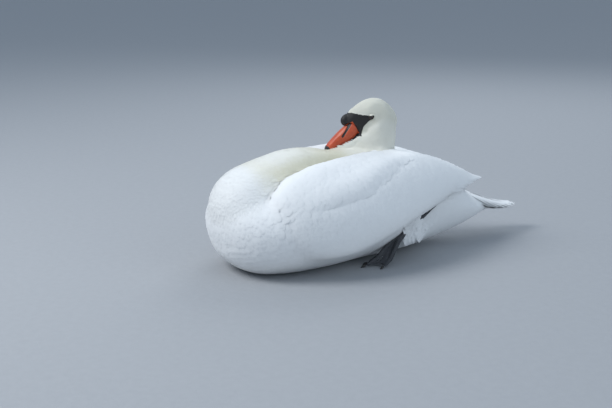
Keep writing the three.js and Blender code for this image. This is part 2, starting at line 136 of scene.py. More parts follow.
# %% [markdown]
# Shader makes any other node in one call: its type, its settings, then its inputs. A plain value fills a
# socket and a Wire is linked to it. All patterns are placed in object coordinates, in metres, since those
# don't stretch where a mesh does.


# %% Shaders
class Shader:
    """One material, built a node at a time."""

    def __init__(self, name):
        self.material = bpy.data.materials.new(name)
        self.material.use_nodes = True
        self.nodes = self.material.node_tree.nodes
        self.links = self.material.node_tree.links
        self.surface = self.nodes["Principled BSDF"]
        coordinates = self.nodes.new("ShaderNodeTexCoord")
        self.place = Wire(self, coordinates.outputs["Object"])

    def fill(self, node, inputs):
        """Sets a node's inputs: links for wires, values for the rest."""
        for key, value in inputs.items():
            if isinstance(value, Wire):
                self.links.new(value.socket, node.inputs[key])
            else:
                node.inputs[key].default_value = value

    def node(self, kind, settings=None, inputs=None, output=0):
        """Adds a node, and gives the wire of one of its outputs."""
        made = self.nodes.new(kind)
        for key, value in (settings or {}).items():
            setattr(made, key, value)
        self.fill(made, inputs or {})
        return Wire(self, made.outputs[output])

    def noise(self, scale, detail, place=None):
        """Cloudy noise, as many blobs to the metre as scale says."""
        inputs = {"Vector": place or self.place, "Scale": scale, "Detail": detail, "Roughness": 0.55}
        return self.node("ShaderNodeTexNoise", None, inputs)

    def cells(self, scale, feature="F1"):
        """Many-sided cells, or the distance to their edges."""
        inputs = {"Vector": self.place, "Scale": scale}
        return self.node("ShaderNodeTexVoronoi", {"feature": feature}, inputs)

    def stretched(self, scale, turn):
        """Object coordinates, turned and stretched."""
        inputs = {"Vector": self.place, "Rotation": turn, "Scale": scale}
        return self.node("ShaderNodeMapping", None, inputs)

    def number(self, name):
        """A number that the mesh stores per point."""
        return self.node("ShaderNodeAttribute", {"attribute_name": name}, None, "Fac")

    def mix(self, first, second, factor):
        """The first colour where factor is 0 and the second where it is 1."""
        settings = {"data_type": "RGBA", "clamp_factor": True}
        first = first if isinstance(first, Wire) else (*first, 1)
        second = second if isinstance(second, Wire) else (*second, 1)
        return self.node("ShaderNodeMix", settings, {0: factor, 6: first, 7: second}, 2)

    def bump(self, height, depth):
        """A bump that is depth metres high where height is 1."""
        return self.node("ShaderNodeBump", None, {"Height": height, "Distance": depth})

    def finish(self, **sockets):
        """Constant values and links for the surface, named as the sockets are with _ for a space."""
        self.fill(self.surface, {key.replace("_", " "): value for key, value in sockets.items()})
        return self.material


print("shader helpers ready")

# %% [markdown]
# ## Floor and light
# The bird lies on a plain pale floor. Its white is easiest to read when the light is soft but comes mostly
# from one side: one broad panel above and to the left, a weaker one opposite, and a cool even sky.

# %% Floor
FLOOR_REACH = 30.0
floor_bm = bmesh.new()
bmesh.ops.create_grid(floor_bm, x_segments=2, y_segments=2, size=FLOOR_REACH)
floor_mesh = bpy.data.meshes.new("floor")
floor_bm.to_mesh(floor_mesh)
floor_bm.free()
floor = bpy.data.objects.new("floor", floor_mesh)
bpy.context.scene.collection.objects.link(floor)

FLOOR_DARK, FLOOR_PALE = (0.36, 0.37, 0.385), (0.40, 0.41, 0.425)
floor_look = Shader("floor_pale")
grit = floor_look.noise(60, 4)
floor_tone = floor_look.mix(FLOOR_DARK, FLOOR_PALE, grit)
floor_bump = floor_look.bump(grit, 0.0006)
floor_mesh.materials.append(floor_look.finish(Base_Color=floor_tone, Roughness=0.85, Normal=floor_bump))
print("floor", 2 * FLOOR_REACH, "m wide")

# %% Light
BIRD_MIDDLE = Vector((0.0, -0.05, 0.15))
PANELS = {  # place, width in metres, watts, colour
    "key_panel": ((-0.5, -2.4, 2.6), 1.6, 74, (0.97, 0.985, 1.0)),
    "fill_panel": ((2.8, 1.2, 1.6), 2.4, 17, (0.86, 0.94, 1.0)),
    "back_panel": ((-1.8, 1.8, 2.2), 1.8, 24, (0.94, 0.97, 1.0)),
}
for name, (place, width, watts, colour) in PANELS.items():
    data = bpy.data.lights.new(name, "AREA")
    data.size, data.energy, data.color = width, watts, colour
    light = bpy.data.objects.new(name, data)
    light.location = place
    light.rotation_euler = (BIRD_MIDDLE - Vector(place)).to_track_quat("-Z", "Y").to_euler()
    bpy.context.scene.collection.objects.link(light)

SKY_BLUE, SKY_STRENGTH = (0.66, 0.81, 1.0, 1), 0.56
world = bpy.data.worlds.new("sky")
bpy.context.scene.world = world
world.use_nodes = True
sky = world.node_tree.nodes["Background"]
sky.inputs["Color"].default_value = SKY_BLUE
sky.inputs["Strength"].default_value = SKY_STRENGTH
bpy.context.scene.view_settings.view_transform = "Standard"
print(len(PANELS), "panels and a sky")

# %% [markdown]
# ## The bird's own directions
# The head turns to the bird's right and tips down, so everything on it is placed along three axes of its
# own: ahead to the bill tip, left, and up to the crown. The neck, wings and scapulars follow centre lines,
# which also tell the feathers which way to lie.

# %% Head axes and centre lines
HEAD_AT = np.array((9, -27, 308)) * MM
HEAD_TURN, HEAD_PITCH = math.radians(22), math.radians(33)
AHEAD = np.array((-math.sin(HEAD_TURN) * math.cos(HEAD_PITCH),
                  -math.cos(HEAD_TURN) * math.cos(HEAD_PITCH),
                  -math.sin(HEAD_PITCH)))
LEFTWARD = np.array((math.cos(HEAD_TURN), -math.sin(HEAD_TURN), 0))
CROWNWARD = np.cross(AHEAD, LEFTWARD)
EYE_OUT, EYE_RADIUS = 20.5, 6.4  # mm from the middle of the head to an eye's centre, and the ball's radius
BILL_TIP = 121  # mm ahead of the eyes

NECK_LINE = np.array([(0, -300, 178), (0, -259, 192), (-1, -194, 200), (-4, -134, 201), (-3, -77, 206),
                      (3, -33, 214), (11, -7, 236), (17, 0, 264), (18, -7, 289), (17, -16, 301)]) * MM
WING_LINE = np.array([(124, -297, 120), (134, -249, 120), (141, -179, 126), (133, -99, 145), (115, -19, 163),
                      (95, 51, 170), (72, 121, 167), (50, 186, 157), (32, 253, 142)]) * MM
SCAPULAR_LINE = np.array([(110, -305, 162), (112, -259, 169), (106, -189, 181), (94, -109, 187),
                          (65, 41, 198), (37, 161, 176), (32, 201, 163)]) * MM
print("bill tip at", np.round(HEAD_AT + (AHEAD * BILL_TIP - CROWNWARD * 6) * MM, 3))

# %% [markdown]
# Places are then turned from one set of directions into the other, and measured along a line. Most rules
# further on blend two values between two limits, which smoothstep does without a visible start or stop.


# %% Measuring
def in_head(ahead, left, up):
    """The place of a point given in mm along the head's own axes."""
    return HEAD_AT + (AHEAD * ahead + LEFTWARD * left + CROWNWARD * up) * MM


def head_axes(points):
    """How far ahead, left and up of the middle of the head each point is, in mm."""
    off = (points - HEAD_AT) / MM
    return off @ AHEAD, off @ LEFTWARD, off @ CROWNWARD


def along_line(points, line):
    """For each point: the share of the line's length at its nearest place, and the line's direction."""
    steps = np.diff(line, axis=0)
    lengths = np.linalg.norm(steps, axis=1)
    starts = np.concatenate(([0], np.cumsum(lengths)))[:-1]
    best_gap = np.full(len(points), np.inf)
    share = np.zeros(len(points))
    direction = np.zeros((len(points), 3))
    tangents = np.gradient(line, axis=0)
    tangents /= np.linalg.norm(tangents, axis=1, keepdims=True)
    for i, step in enumerate(steps):
        part = np.clip((points - line[i]) @ step / lengths[i] ** 2, 0, 1)
        gap = np.linalg.norm(points - line[i] - part[:, None] * step, axis=1)
        nearer = gap < best_gap
        best_gap = np.where(nearer, gap, best_gap)
        share = np.where(nearer, (starts[i] + part * lengths[i]) / lengths.sum(), share)
        blend = tangents[i] * (1 - part[:, None]) + tangents[i + 1] * part[:, None]
        direction = np.where(nearer[:, None], blend, direction)
    return share, direction


def smoothstep(low, high, value):
    """0 at low, 1 at high, smooth between; low may be the greater of the two."""
    part = np.clip((value - low) / (high - low), 0, 1)
    return part * part * (3 - 2 * part)


def unit(vectors):
    return vectors / np.maximum(np.linalg.norm(vectors, axis=-1, keepdims=True), 1e-9)


print("half way between 2 and 4:", smoothstep(2, 4, 3))

# %% [markdown]
# ## Mesh helpers
# Solids from the frame are loose triangles. A copy is merged, joined with others and remeshed into one
# even surface of small squares, which can then be smoothed and pushed into folds. The voxel remesh is a
# modifier, so the result is read back from the evaluated object.


# %% Mesh helpers
def merged_copy(*names):
    """One bmesh with copies of these solids, with their doubled points joined."""
    bm = bmesh.new()
    for name in names:
        bm.from_mesh(frame["nodes"][name].data)
    bmesh.ops.remove_doubles(bm, verts=bm.verts, dist=0.01 * MM)
    return bm


def remeshed(bm, voxel):
    """The same solid as one closed surface of squares about a voxel wide."""
    mesh = bpy.data.meshes.new("rough")
    bm.to_mesh(mesh)
    bm.free()
    rough = bpy.data.objects.new("rough", mesh)
    bpy.context.scene.collection.objects.link(rough)
    remesh = rough.modifiers.new("remesh", "REMESH")
    remesh.mode, remesh.voxel_size, remesh.use_smooth_shade = "VOXEL", voxel, True
    fine = bpy.data.meshes.new_from_object(rough.evaluated_get(bpy.context.evaluated_depsgraph_get()))
    bpy.data.objects.remove(rough)
    bpy.data.meshes.remove(mesh)
    made = bmesh.new()
    made.from_mesh(fine)
    bpy.data.meshes.remove(fine)
    return made


def keep_largest(bm):
    """Deletes every loose island but the one with the most points."""
    left, islands = set(bm.verts), []
    while left:
        island, edge = set(), [left.pop()]
        while edge:
            vert = edge.pop()
            island.add(vert)
            near = [e.other_vert(vert) for e in vert.link_edges]
            edge += [v for v in near if v in left]
            left.difference_update(near)
        islands.append(island)
    islands.sort(key=len)
    for island in islands[:-1]:
        bmesh.ops.delete(bm, geom=list(island), context="VERTS")
    return len(islands)


def smooth(bm, rounds):
    for _ in range(rounds):
        bmesh.ops.smooth_vert(bm, verts=bm.verts, factor=0.5, use_axis_x=True, use_axis_y=True,
                              use_axis_z=True)


def add_piece(name, bm, material, slot_name, *stands_for):
    """Turns a bmesh into a piece of the bird."""
    bmesh.ops.recalc_face_normals(bm, faces=bm.faces)
    mesh = bpy.data.meshes.new(name)
    bm.to_mesh(mesh)
    bm.free()
    mesh.shade_smooth()
    mesh.materials.append(material)
    piece = bpy.data.objects.new(name, mesh)
    bpy.context.scene.collection.objects.link(piece)
    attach(piece, body_name)
    if stands_for:
        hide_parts(*stands_for)
    print(f"{name}: {len(mesh.polygons)} faces")
    return piece


print(len(frame["nodes"]), "solids can be copied")

# %% [markdown]
# Heavy sums run in numpy arrays, one row per point, which is far quicker than looping over a mesh. A field
# is such an array, and averaging it with its neighbours along the edges takes the jumps out of it.


# %% Points and fields
def points_of(bm):
    return np.array([v.co for v in bm.verts])


def normals_of(bm):
    bm.normal_update()
    return np.array([v.normal for v in bm.verts])


def move_points(bm, points):
    for vert, point in zip(bm.verts, points):
        vert.co = point
    bm.normal_update()


def set_number(piece, name, values):
    """Stores one number per point, for a material to read."""
    store = piece.data.attributes.new(name, "FLOAT", "POINT")
    store.data.foreach_set("value", np.asarray(values, np.float32))


def tree_of(bm):
    return BVHTree.FromBMesh(bm)


def edges_of(bm):
    bm.verts.index_update()
    return np.array([(e.verts[0].index, e.verts[1].index) for e in bm.edges])


def averaged(values, ends, rounds, share=0.5):
    """Moves a field towards its neighbours' mean, over and over; share says how far, point by point."""
    values = np.asarray(values, float)
    count = np.bincount(ends.ravel(), minlength=len(values))
    share = np.broadcast_to(share, len(values))
    for _ in range(rounds):
        columns = values.reshape(len(values), -1).T
        sums = [np.bincount(ends[:, 0], column[ends[:, 1]], len(values))
                + np.bincount(ends[:, 1], column[ends[:, 0]], len(values)) for column in columns]
        columns = columns + share * (np.array(sums) / count - columns)
        values = columns.T.reshape(values.shape)
    return values


def gap_to_line(across, up, start, end):
    """Distance of points on a plane to the straight line between two places."""
    (x0, y0), (x1, y1) = start, end
    run, rise = x1 - x0, y1 - y0
    part = np.clip(((across - x0) * run + (up - y0) * rise) / (run**2 + rise**2), 0, 1)
    return np.hypot(across - x0 - part * run, up - y0 - part * rise)


def inside_outline(across, up, outline):
    """Signed distance of points to a closed outline on a plane, positive inside."""
    gap = np.full(len(across), np.inf)
    inside = np.zeros(len(across), bool)
    for (x0, y0), (x1, y1) in zip(outline, outline[1:] + outline[:1]):
        gap = np.minimum(gap, gap_to_line(across, up, (x0, y0), (x1, y1)))
        crosses = (y0 > up) != (y1 > up)
        rise = y1 - y0 if y1 != y0 else 1e-9
        inside ^= crosses & (across < x0 + (up - y0) * (x1 - x0) / rise)
    return np.where(inside, gap, -gap)


middle = np.array([5.0])
square = [(0, 0), (10, 0), (10, 10), (0, 10)]
print("the middle of a square 10 wide is", inside_outline(middle, middle, square)[0], "inside it")

# %% [markdown]
# ## Skin
# Under the feathers a swan is one smooth, soft body. The solids of flesh, the fleshy knob of the bill among
# them, could be bridged face by face, but a voxel remesh joins them all at once and leaves no seam. They
# reach out to the feather tips, so further on the skin is drawn inwards by the depth of the coat: most on
# the body, little on the face, none on the bare lores.

# %% Join the flesh
FLESH = ["trunk", "neck_lower", "neck_middle", "neck_upper", "head", "bill_knob", "tail",
         "scapulars_left", "scapulars_right", "wing_left", "wing_right"]
SKIN_VOXEL = 4.2 * MM

skin = remeshed(merged_copy(*FLESH), SKIN_VOXEL)
islands = keep_largest(skin)
smooth(skin, 4)
print("skin:", len(skin.verts), "points, islands before cleaning:", islands)

# %% [markdown]
# The breast feathers close over the bend of the wing and the flank feathers over the front of its lower
# edge, and the head runs into the neck, so there the body is one smooth swell. Points in those places are
# averaged with their neighbours many times, which dissolves the steps that the separate solids leave. The
# share fades out at each place's border, because a sudden stop would leave a ridge.

# %% Melt the solids into each other
BODY_ROUNDS, NAPE_ROUNDS, NAPE_SWELL = 34, 22, 1.4 * MM
spots = points_of(skin)
x_mm, y_mm, z_mm = (spots / MM).T
ahead, left, up = head_axes(spots)
shoulder = (smoothstep(-195, -225, y_mm) * smoothstep(228, 206, z_mm)
            * smoothstep(-4, 8, np.abs(x_mm) - 62 + 0.25 * (215 - z_mm)))
lower_edge = smoothstep(-5, -35, y_mm + 0.9 * (z_mm - 40)) * smoothstep(132, 112, z_mm)
behind_eye = smoothstep(0, -18, ahead) * smoothstep(-100, -80, ahead)
under_eye = smoothstep(-12, -26, up + 0.12 * ahead) * smoothstep(54, 42, ahead)
nape = np.maximum(behind_eye, under_eye) * smoothstep(214, 232, z_mm)
quilted = smoothstep(60, 95, np.abs(x_mm)) * smoothstep(125, 150, z_mm) * smoothstep(90, 30, y_mm)
ends = edges_of(skin)
spots = averaged(spots, ends, BODY_ROUNDS, 0.5 * np.maximum.reduce([shoulder, lower_edge, quilted]))
spots = averaged(spots, ends, NAPE_ROUNDS, 0.5 * nape) + normals_of(skin) * (NAPE_SWELL * nape)[:, None]
print("melted points:", int((shoulder + lower_edge + nape > 0.5).sum()))

# %% [markdown]
# The solids leave two places too lean. The thigh bulges behind the shank, and the breast feathers fill the
# corner where the neck, the wing and the scapulars meet. Each gets a soft swell that fades out all round.

# %% Thigh and corner
THIGH_SWELL = 20 * MM
CORNER, CORNER_REACH, CORNER_SWELL = np.array((81, -313, 168)) * MM, 17 * MM, 3.5 * MM
thigh = np.exp(-(((y_mm - 48) / 38) ** 2) - ((z_mm - 47) / 28) ** 2) * smoothstep(40, 70, np.abs(x_mm))
spots += np.outer(THIGH_SWELL * thigh * np.sign(x_mm), (1, 0, 0))
on_one_side = np.abs(spots) * (1, 0, 0) + spots * (0, 1, 1)
corner_gap = np.linalg.norm(on_one_side - CORNER, axis=1)
spots += normals_of(skin) * (CORNER_SWELL * np.exp(-((corner_gap / CORNER_REACH) ** 2)))[:, None]
move_points(skin, averaged(spots, ends, 4, 0.5 * smoothstep(245, 225, z_mm)))
print("thigh swells by up to", round(THIGH_SWELL * thigh.max() / MM, 1), "mm")

# %% [markdown]
# The head is small and seen closely, so its part of the skin is divided once more, its front twice and the
# eyelids three times. Dividing the whole skin as finely would make it far too heavy.

# %% Divide the head
EYES = {"left": 1, "right": -1}
# The bare black lores, seen from the side in mm ahead of and above the eyes: a wedge that narrows to the eye.
LORES = [(-1.5, 1.0), (0, 4.2), (8, 11), (17, 18.5), (29, 29.5), (39, 34), (42, 52), (80, 52), (80, -22),
         (50, -27), (41, -26), (36, -19), (24, -9), (10, -5), (0, -3.6)]


def face_zones(points):
    """Three zones, each inside the last: the whole head, its front, and the eyelids."""
    ahead, left, up = head_axes(points)
    whole = (ahead > -52) & (ahead < 75) & (np.abs(left) < 42) & (up > -45) & (up < 48)
    lids = (np.hypot(ahead, up) < 12) & (np.abs(left) > 10)
    return whole, whole & (ahead > -12) & (up > -34), whole & lids


for zone in range(3):
    chosen_points = face_zones(points_of(skin))[zone]
    chosen = [e for e in skin.edges if chosen_points[e.verts[0].index] and chosen_points[e.verts[1].index]]
    bmesh.ops.subdivide_edges(skin, edges=chosen, cuts=1, use_grid_fill=True)
    skin.verts.index_update()
bmesh.ops.triangulate(skin, faces=[f for f in skin.faces if len(f.verts) > 4])
skin.verts.ensure_lookup_table()
skin.faces.ensure_lookup_table()
edge_ends = edges_of(skin)
print("skin with a finer head:", len(skin.verts), "points,", len(skin.faces), "faces")

# %% [markdown]
# Every point of the skin belongs to the solid that it is nearest to. That region says later how long its
# feathers are and which way they lie, and on the front of the head the point is drawn back onto the solid.

# %% Regions
flesh_of_face, corner_points, corner_faces = [], [], []
for number, flesh_name in enumerate(FLESH):
    part = merged_copy(flesh_name)
    first = len(corner_points)
    corner_points += [v.co.copy() for v in part.verts]
    corner_faces += [[first + v.index for v in f.verts] for f in part.faces]
    flesh_of_face += [number] * len(part.faces)
    part.free()
flesh_tree = BVHTree.FromPolygons(corner_points, corner_faces)

points = points_of(skin)
nearest = [flesh_tree.find_nearest(Vector(p)) for p in points]
region = np.array([flesh_of_face[hit[2]] for hit in nearest])
on_solid = np.array([hit[0] for hit in nearest])
HEAD, TAIL = FLESH.index("head"), FLESH.index("tail")
region[region == FLESH.index("bill_knob")] = HEAD
ahead, left, up = head_axes(points)
exact = smoothstep(-20, 0, ahead) * smoothstep(-22, 0, up) * face_zones(points)[0] * (region == HEAD)
points += exact[:, None] * (on_solid - points)
print({name: int((region == number).sum()) for number, name in enumerate(FLESH)})

# %% [markdown]
# The cheeks are one calm curve under the feathers, and the crown and nape are fuller than the solid. Both
# are shaped by averaging and by moves outwards from the eye, with a share that fades out at their borders.

# %% Cheeks, crown and nape
CHEEK_ROUNDS = 220
in_zone = smoothstep(-52, -44, ahead) * smoothstep(75, 66, ahead) * smoothstep(-45, -38, up)
points = averaged(points, edge_ends, 8, 0.5 * in_zone * (np.abs(left) < 42))
cheek = in_zone * smoothstep(20, 8, up) * smoothstep(10, 17, np.hypot(ahead, up)) * smoothstep(44, 34, ahead)
cheek = cheek * smoothstep(-34, -14, ahead)
points = averaged(points, edge_ends, CHEEK_ROUNDS, 0.5 * cheek)
# Outward moves in mm by the angle round the eye in degrees, from ahead over the crown to the throat.
ROUNDING = ((48, 62, 76, 92, 107, 123, 136, 148, 162, 180, 203, 213, 225, 245, 270),
            (0, -2, -2, -1.5, -0.3, 1.5, 3.6, 4.5, 5, 4.8, 2.8, 1.2, -0.5, -1, 0))
ahead, left, up = head_axes(points)
turned = np.degrees(np.arctan2(up, ahead)) % 360
push = np.interp(turned, *ROUNDING) * smoothstep(10, 32, np.hypot(ahead, up)) * (np.hypot(ahead, up) < 90)
push *= smoothstep(214, 232, points[:, 2] / MM) * (np.abs(left) < 48)
away = unit(AHEAD * ahead[:, None] + CROWNWARD * up[:, None])
points = points + away * (averaged(push, edge_ends, 10) * MM)[:, None]
move_points(skin, points)
print("crown and nape moved by", push.min().round(1), "to", push.max().round(1), "mm")

# %% [markdown]
# ## Bare skin
# The lores between bill and eye and the lids are bare black skin. Their outline could be painted on a map,
# but a rule in mm along the head's axes gives each point its number without one.


# %% Bare skin
def spread(values, rounds):
    """A field of the skin's points, averaged along its edges."""
    return averaged(values, edge_ends, rounds)


LID_REACH, LID_HEIGHT = 4.9, 3.7  # the eye's opening, half its length and half its height


def bareness(points):
    """1 on the bare skin of the lores and eyelids, 0 where feathers grow."""
    ahead, left, up = head_axes(points)
    lores = smoothstep(-0.5, 0.7, inside_outline(ahead, up, LORES))
    rim = np.hypot(ahead / LID_REACH, up / LID_HEIGHT)
    lids = smoothstep(1.36, 1.18, rim) * (np.abs(left) > 12)
    return np.maximum(lores, lids) * face_zones(points)[0]


bare = bareness(points)
print("bare points:", int((bare > 0.5).sum()))

# %% [markdown]
# ## Where one kind of feather ends
# The scapulars lie over the wing with a lower edge of their own, which isn't where their solid ends, and the
# nape's short feathers reach a little over the scapulars' front. Points there change their region.

# %% Borders of the regions
# The lower edge of the scapulars on the bird's side: its height at places from front to back, in mm.
CREASE = ((-300, -258, -222, -188, -164, -138, -115, -92, -63, -38, 3, 60),
          (146, 153, 156, 161, 166, 171, 182, 195, 206, 214, 223, 231))
neck_share, neck_way = along_line(points, NECK_LINE)
x_mm, y_mm, z_mm = (points / MM).T
over_crease = z_mm - np.interp(y_mm, *CREASE)
quilt_side = (region > TAIL) & (np.abs(x_mm) > 60) & (y_mm < 30)
for side_name, side in EYES.items():
    region[quilt_side & (over_crease > 0) & (side * points[:, 0] > 0)] = FLESH.index("scapulars_" + side_name)
by_nape = (region > TAIL) & (np.abs(x_mm) < 70) & (y_mm > -60) & (y_mm < 14) & (z_mm > 239)
region[by_nape] = FLESH.index("neck_upper")
is_neck = (region >= 1) & (region <= 3)
is_wing = region >= FLESH.index("wing_left")
is_scapular = (region > TAIL) & ~is_wing
print("neck, wing and scapular points:", is_neck.sum(), is_wing.sum(), is_scapular.sum())

# %% [markdown]
# ## How deep the coat is
# Coat depth, feather length and tint are numbers that change slowly over the body. Each starts as a rule
# per region and is then averaged with its neighbours along the edges, so that nothing jumps at a border.

# %% Coat depth
BODY_DEPTH, WING_DEPTH, TAIL_DEPTH, BARE_DEPTH = 6.5, 6.0, 5.0, 0.15  # mm
depth = np.full(len(points), BODY_DEPTH)
depth[is_neck] = 6.0 - 2.5 * neck_share[is_neck]
ahead, left, up = head_axes(points)
depth[region == HEAD] = 2.0 + 1.6 * smoothstep(8, -40, ahead[region == HEAD])
depth[region == TAIL] = TAIL_DEPTH
depth[is_wing] = WING_DEPTH
depth *= 1 - 0.55 * smoothstep(80, 25, z_mm)  # pressed flatter under the body
depth = spread(depth, 14) * (1 - bare) + BARE_DEPTH * bare
# The orange horn's base shows at the side of the face, so the skin draws back from it there.
HORN_BASE = [(38.2, 13.2), (38.4, -4), (39.4, -16), (60, -16), (60, 13.2)]
on_horn = smoothstep(-0.4, 0.4, inside_outline(ahead, up, HORN_BASE)) * (np.abs(left) > 5) * bare
depth += 1.0 * spread(on_horn, 2)
print("coat depth from", depth.min().round(2), "to", depth.max().round(2), "mm")

# %% [markdown]
# ## Rings and ripples
# Where the neck turns back on itself its skin gathers in low rings across the neck, and the feathers of the
# breast ripple where the body's weight presses on them. Both are sines that run along the body, broken up
# by noise. All sculpting moves points along their normals, which keeps the one skin whole.

# %% Rings and ripples
WRINKLE_SPAN, WRINKLE_HEIGHT = 10.5, 0.6  # mm from ring to ring, and how high they stand
RIPPLE_SPAN, RIPPLE_HEIGHT, SWELL_HEIGHT = 13.0, 0.9, 1.6
neck_length = np.linalg.norm(np.diff(NECK_LINE, axis=0), axis=1).sum() / MM
wobble = np.array([noise.noise(Vector(p) * 22) for p in points])
patches = np.array([noise.noise(Vector(p) * 11 + Vector((5, 0, 0))) for p in points])
rings = np.sin(2 * math.pi * (neck_share * neck_length / WRINKLE_SPAN + 1.4 * wobble))
gathered = is_neck * smoothstep(0.08, 0.18, neck_share) * smoothstep(0.56, 0.40, neck_share)
wrinkle = spread(WRINKLE_HEIGHT * rings * gathered * smoothstep(-0.5, 0.3, patches), 2)

ripple_rings = np.sin(2 * math.pi * ((points[:, 2] - 0.35 * points[:, 1]) / MM / RIPPLE_SPAN + 1.1 * wobble))
pressed = (region == 0) * smoothstep(105, 60, z_mm) * smoothstep(-60, -230, y_mm)
wrinkle += spread(RIPPLE_HEIGHT * ripple_rings * pressed * smoothstep(-0.3, 0.4, patches), 2)

swell = SWELL_HEIGHT * np.array([noise.noise(Vector(p) * 9 + Vector((0, 7, 0))) for p in points])
swell = spread(swell * (region != HEAD), 4)
print("neck", round(neck_length), "mm long; rings up to", wrinkle.max().round(1), "mm high")

# %% [markdown]
# The scapulars lie on the wing like a quilt: their lower edge swells over a shallow groove. The swell fades
# out at the shoulder and over the rump, where they run into their surroundings.

# %% Edge of the scapulars
QUILT_SWELL, QUILT_GROOVE = 2.0, 1.2  # mm
quilt = (QUILT_SWELL * smoothstep(-4, 18, over_crease) * smoothstep(75, 30, over_crease)
         - QUILT_GROOVE * np.exp(-(((over_crease + 2) / 9) ** 2)))
quilt *= smoothstep(70, 100, np.abs(x_mm)) * (region > TAIL)
quilt *= smoothstep(-285, -215, y_mm) * smoothstep(55, 0, y_mm)
wrinkle += spread(quilt, 2)
print("scapular edge from", quilt.min().round(1), "to", quilt.max().round(1), "mm")

# %% [markdown]
# ## Draw the skin in
# The skin moves inwards by the coat's depth. In a thin place, such as a wing's end, it may move by no more
# than a third of the thickness, so a ray is cast into the body from every point to measure that.

# %% Draw the skin in
MOST_OF_THICKNESS, TIP_DENT = 0.36, 5.0
skin_normals = unit(spread(normals_of(skin), 3))
reach = np.full(len(points), 30.0)
outer_tree = tree_of(skin)
for i, (point, normal) in enumerate(zip(points, skin_normals)):
    start = Vector(point) - Vector(normal) * 0.5 * MM
    hit = outer_tree.ray_cast(start, -Vector(normal), 0.03)
    if hit[0] is not None:
        reach[i] = hit[3] / MM
depth = np.minimum(depth, MOST_OF_THICKNESS * spread(reach, 3))
inward = depth - wrinkle - swell
inward = np.where(depth < 1.2, depth, inward)

# The neck's feathers are pressed down where the bill's tip lies on them.
bill_rest = in_head(118, 20, -2)
inward += TIP_DENT * np.exp(-((np.linalg.norm(points - bill_rest, axis=1) / (15 * MM)) ** 2))

# The folded wing thins to a point at its end: its underside rises towards the back.
under_end = np.interp(y_mm, (200, 220, 235, 253), (126, 137, 143, 147)) - z_mm
rise = np.maximum(under_end, 0) * 0.85 * smoothstep(198, 215, y_mm) * is_wing
points[:, 2] += spread(rise, 3) * MM
points = points - skin_normals * (inward * MM)[:, None]
print("skin drawn in by up to", depth.max().round(1), "mm")

# %% [markdown]
# ## Eyelids
# The eyelids are a raised rim round an oval opening, over the eyeball, with a shallow groove outside it. Each
# point near an eye gets a new distance from the middle of the head by how far from the opening it is.


# %% Eyelids
LID_THICKNESS, LID_ROLL, SUNK = 0.7, 0.25, 1.6  # mm over the ball, more at the rim, and below it inside
OPENING, ROLL_FROM, ROLL_TO = 0.97, 1.75, 1.1  # as multiples of the opening's own outline
GROOVE_AT, GROOVE_WIDTH, GROOVE_DEPTH = 1.95, 0.22, 0.55
FLOOR_GAP = 1.2 * MM


def shape_lids(points):
    """Opens the skin over each eyeball and rolls a rim round the opening."""
    points = points.copy()
    ahead, left, up = head_axes(points)
    oval = np.hypot(ahead / LID_REACH, up / LID_HEIGHT)
    round_gap = np.hypot(ahead, up)
    for side in EYES.values():
        here = (left * side > 10) & (round_gap < 14)
        ball = EYE_OUT + np.sqrt(np.maximum((EYE_RADIUS + LID_THICKNESS) ** 2 - round_gap**2, 0))
        sunk = EYE_OUT + np.sqrt(np.maximum(EYE_RADIUS**2 - round_gap**2, 0)) - SUNK
        out = left * side
        roll = smoothstep(ROLL_FROM, ROLL_TO, oval)
        lid = out + roll * (np.maximum(ball, out) - out) + LID_ROLL * roll
        groove = GROOVE_DEPTH * np.exp(-(((oval - GROOVE_AT) / GROOVE_WIDTH) ** 2))
        target = np.where(oval < OPENING, sunk, lid) - groove
        shift = np.where(here, (target - out) * side, 0)
        points += LEFTWARD * (shift * MM)[:, None]
    return points


points = shape_lids(points)
points[:, 2] = np.maximum(points[:, 2], FLOOR_GAP)
move_points(skin, points)
bmesh.ops.recalc_face_normals(skin, faces=skin.faces)
skin_tree = tree_of(skin)
skin_normals = unit(spread(normals_of(skin), 2))
print("eyelids open", 2 * LID_REACH, "by", 2 * LID_HEIGHT, "mm")

# %% [markdown]
# ## Which way the feathers lie
# Feathers point away from the bill: back over the head, down the neck, then out over the breast and along
# the body to the tail. On the wings and scapulars they follow those parts' centre lines. The rule for each
# region gives a rough direction, which is laid flat on the skin and averaged across the borders.

# %% Lie of the feathers
lie = np.zeros((len(points), 3))
x_mm, y_mm, z_mm = (points / MM).T
back = smoothstep(-330, -200, y_mm)
high = smoothstep(120, 200, z_mm)
lie[:, 1] = 0.35 + 0.65 * back
lie[:, 2] = -1 + 0.9 * back
collar = region == 1
lie[collar, 1] = (0.5 - 1.7 * high)[collar]
lie[collar, 2] = -(0.75 - 0.45 * high)[collar]
upper_neck = (region == 2) | (region == 3) | (collar & (y_mm > -255))
lie[upper_neck] = -neck_way[upper_neck] / np.linalg.norm(neck_way[upper_neck], axis=1, keepdims=True)
lie[region == HEAD] = -AHEAD - 0.45 * CROWNWARD
on_one_side = np.abs(points) * (1, 0, 0) + points * (0, 1, 1)
for chosen_region, line in ((is_wing, WING_LINE), (is_scapular, SCAPULAR_LINE)):
    way = along_line(on_one_side, line)[1]
    way[:, 0] *= np.sign(points[:, 0])
    lie[chosen_region] = unit(way)[chosen_region]
lie[region == TAIL] = (0, 1, -0.1)
lie = unit(lie)
lie -= skin_normals * (lie * skin_normals).sum(1)[:, None]
lie = unit(spread(unit(lie), 10))
print("feathers on average lie", lie.mean(0).round(2))

# %% [markdown]
# ## How big the feathers are
# They are smallest on the face, longer and narrow down the neck, broad on the breast, and largest on the
# scapulars and towards the wing tip. A cream tint is strongest on the head and fades down the neck, and the
# belly, which lies on the ground, is a little soiled.

# %% Feather sizes
behind = smoothstep(-300, 230, y_mm)
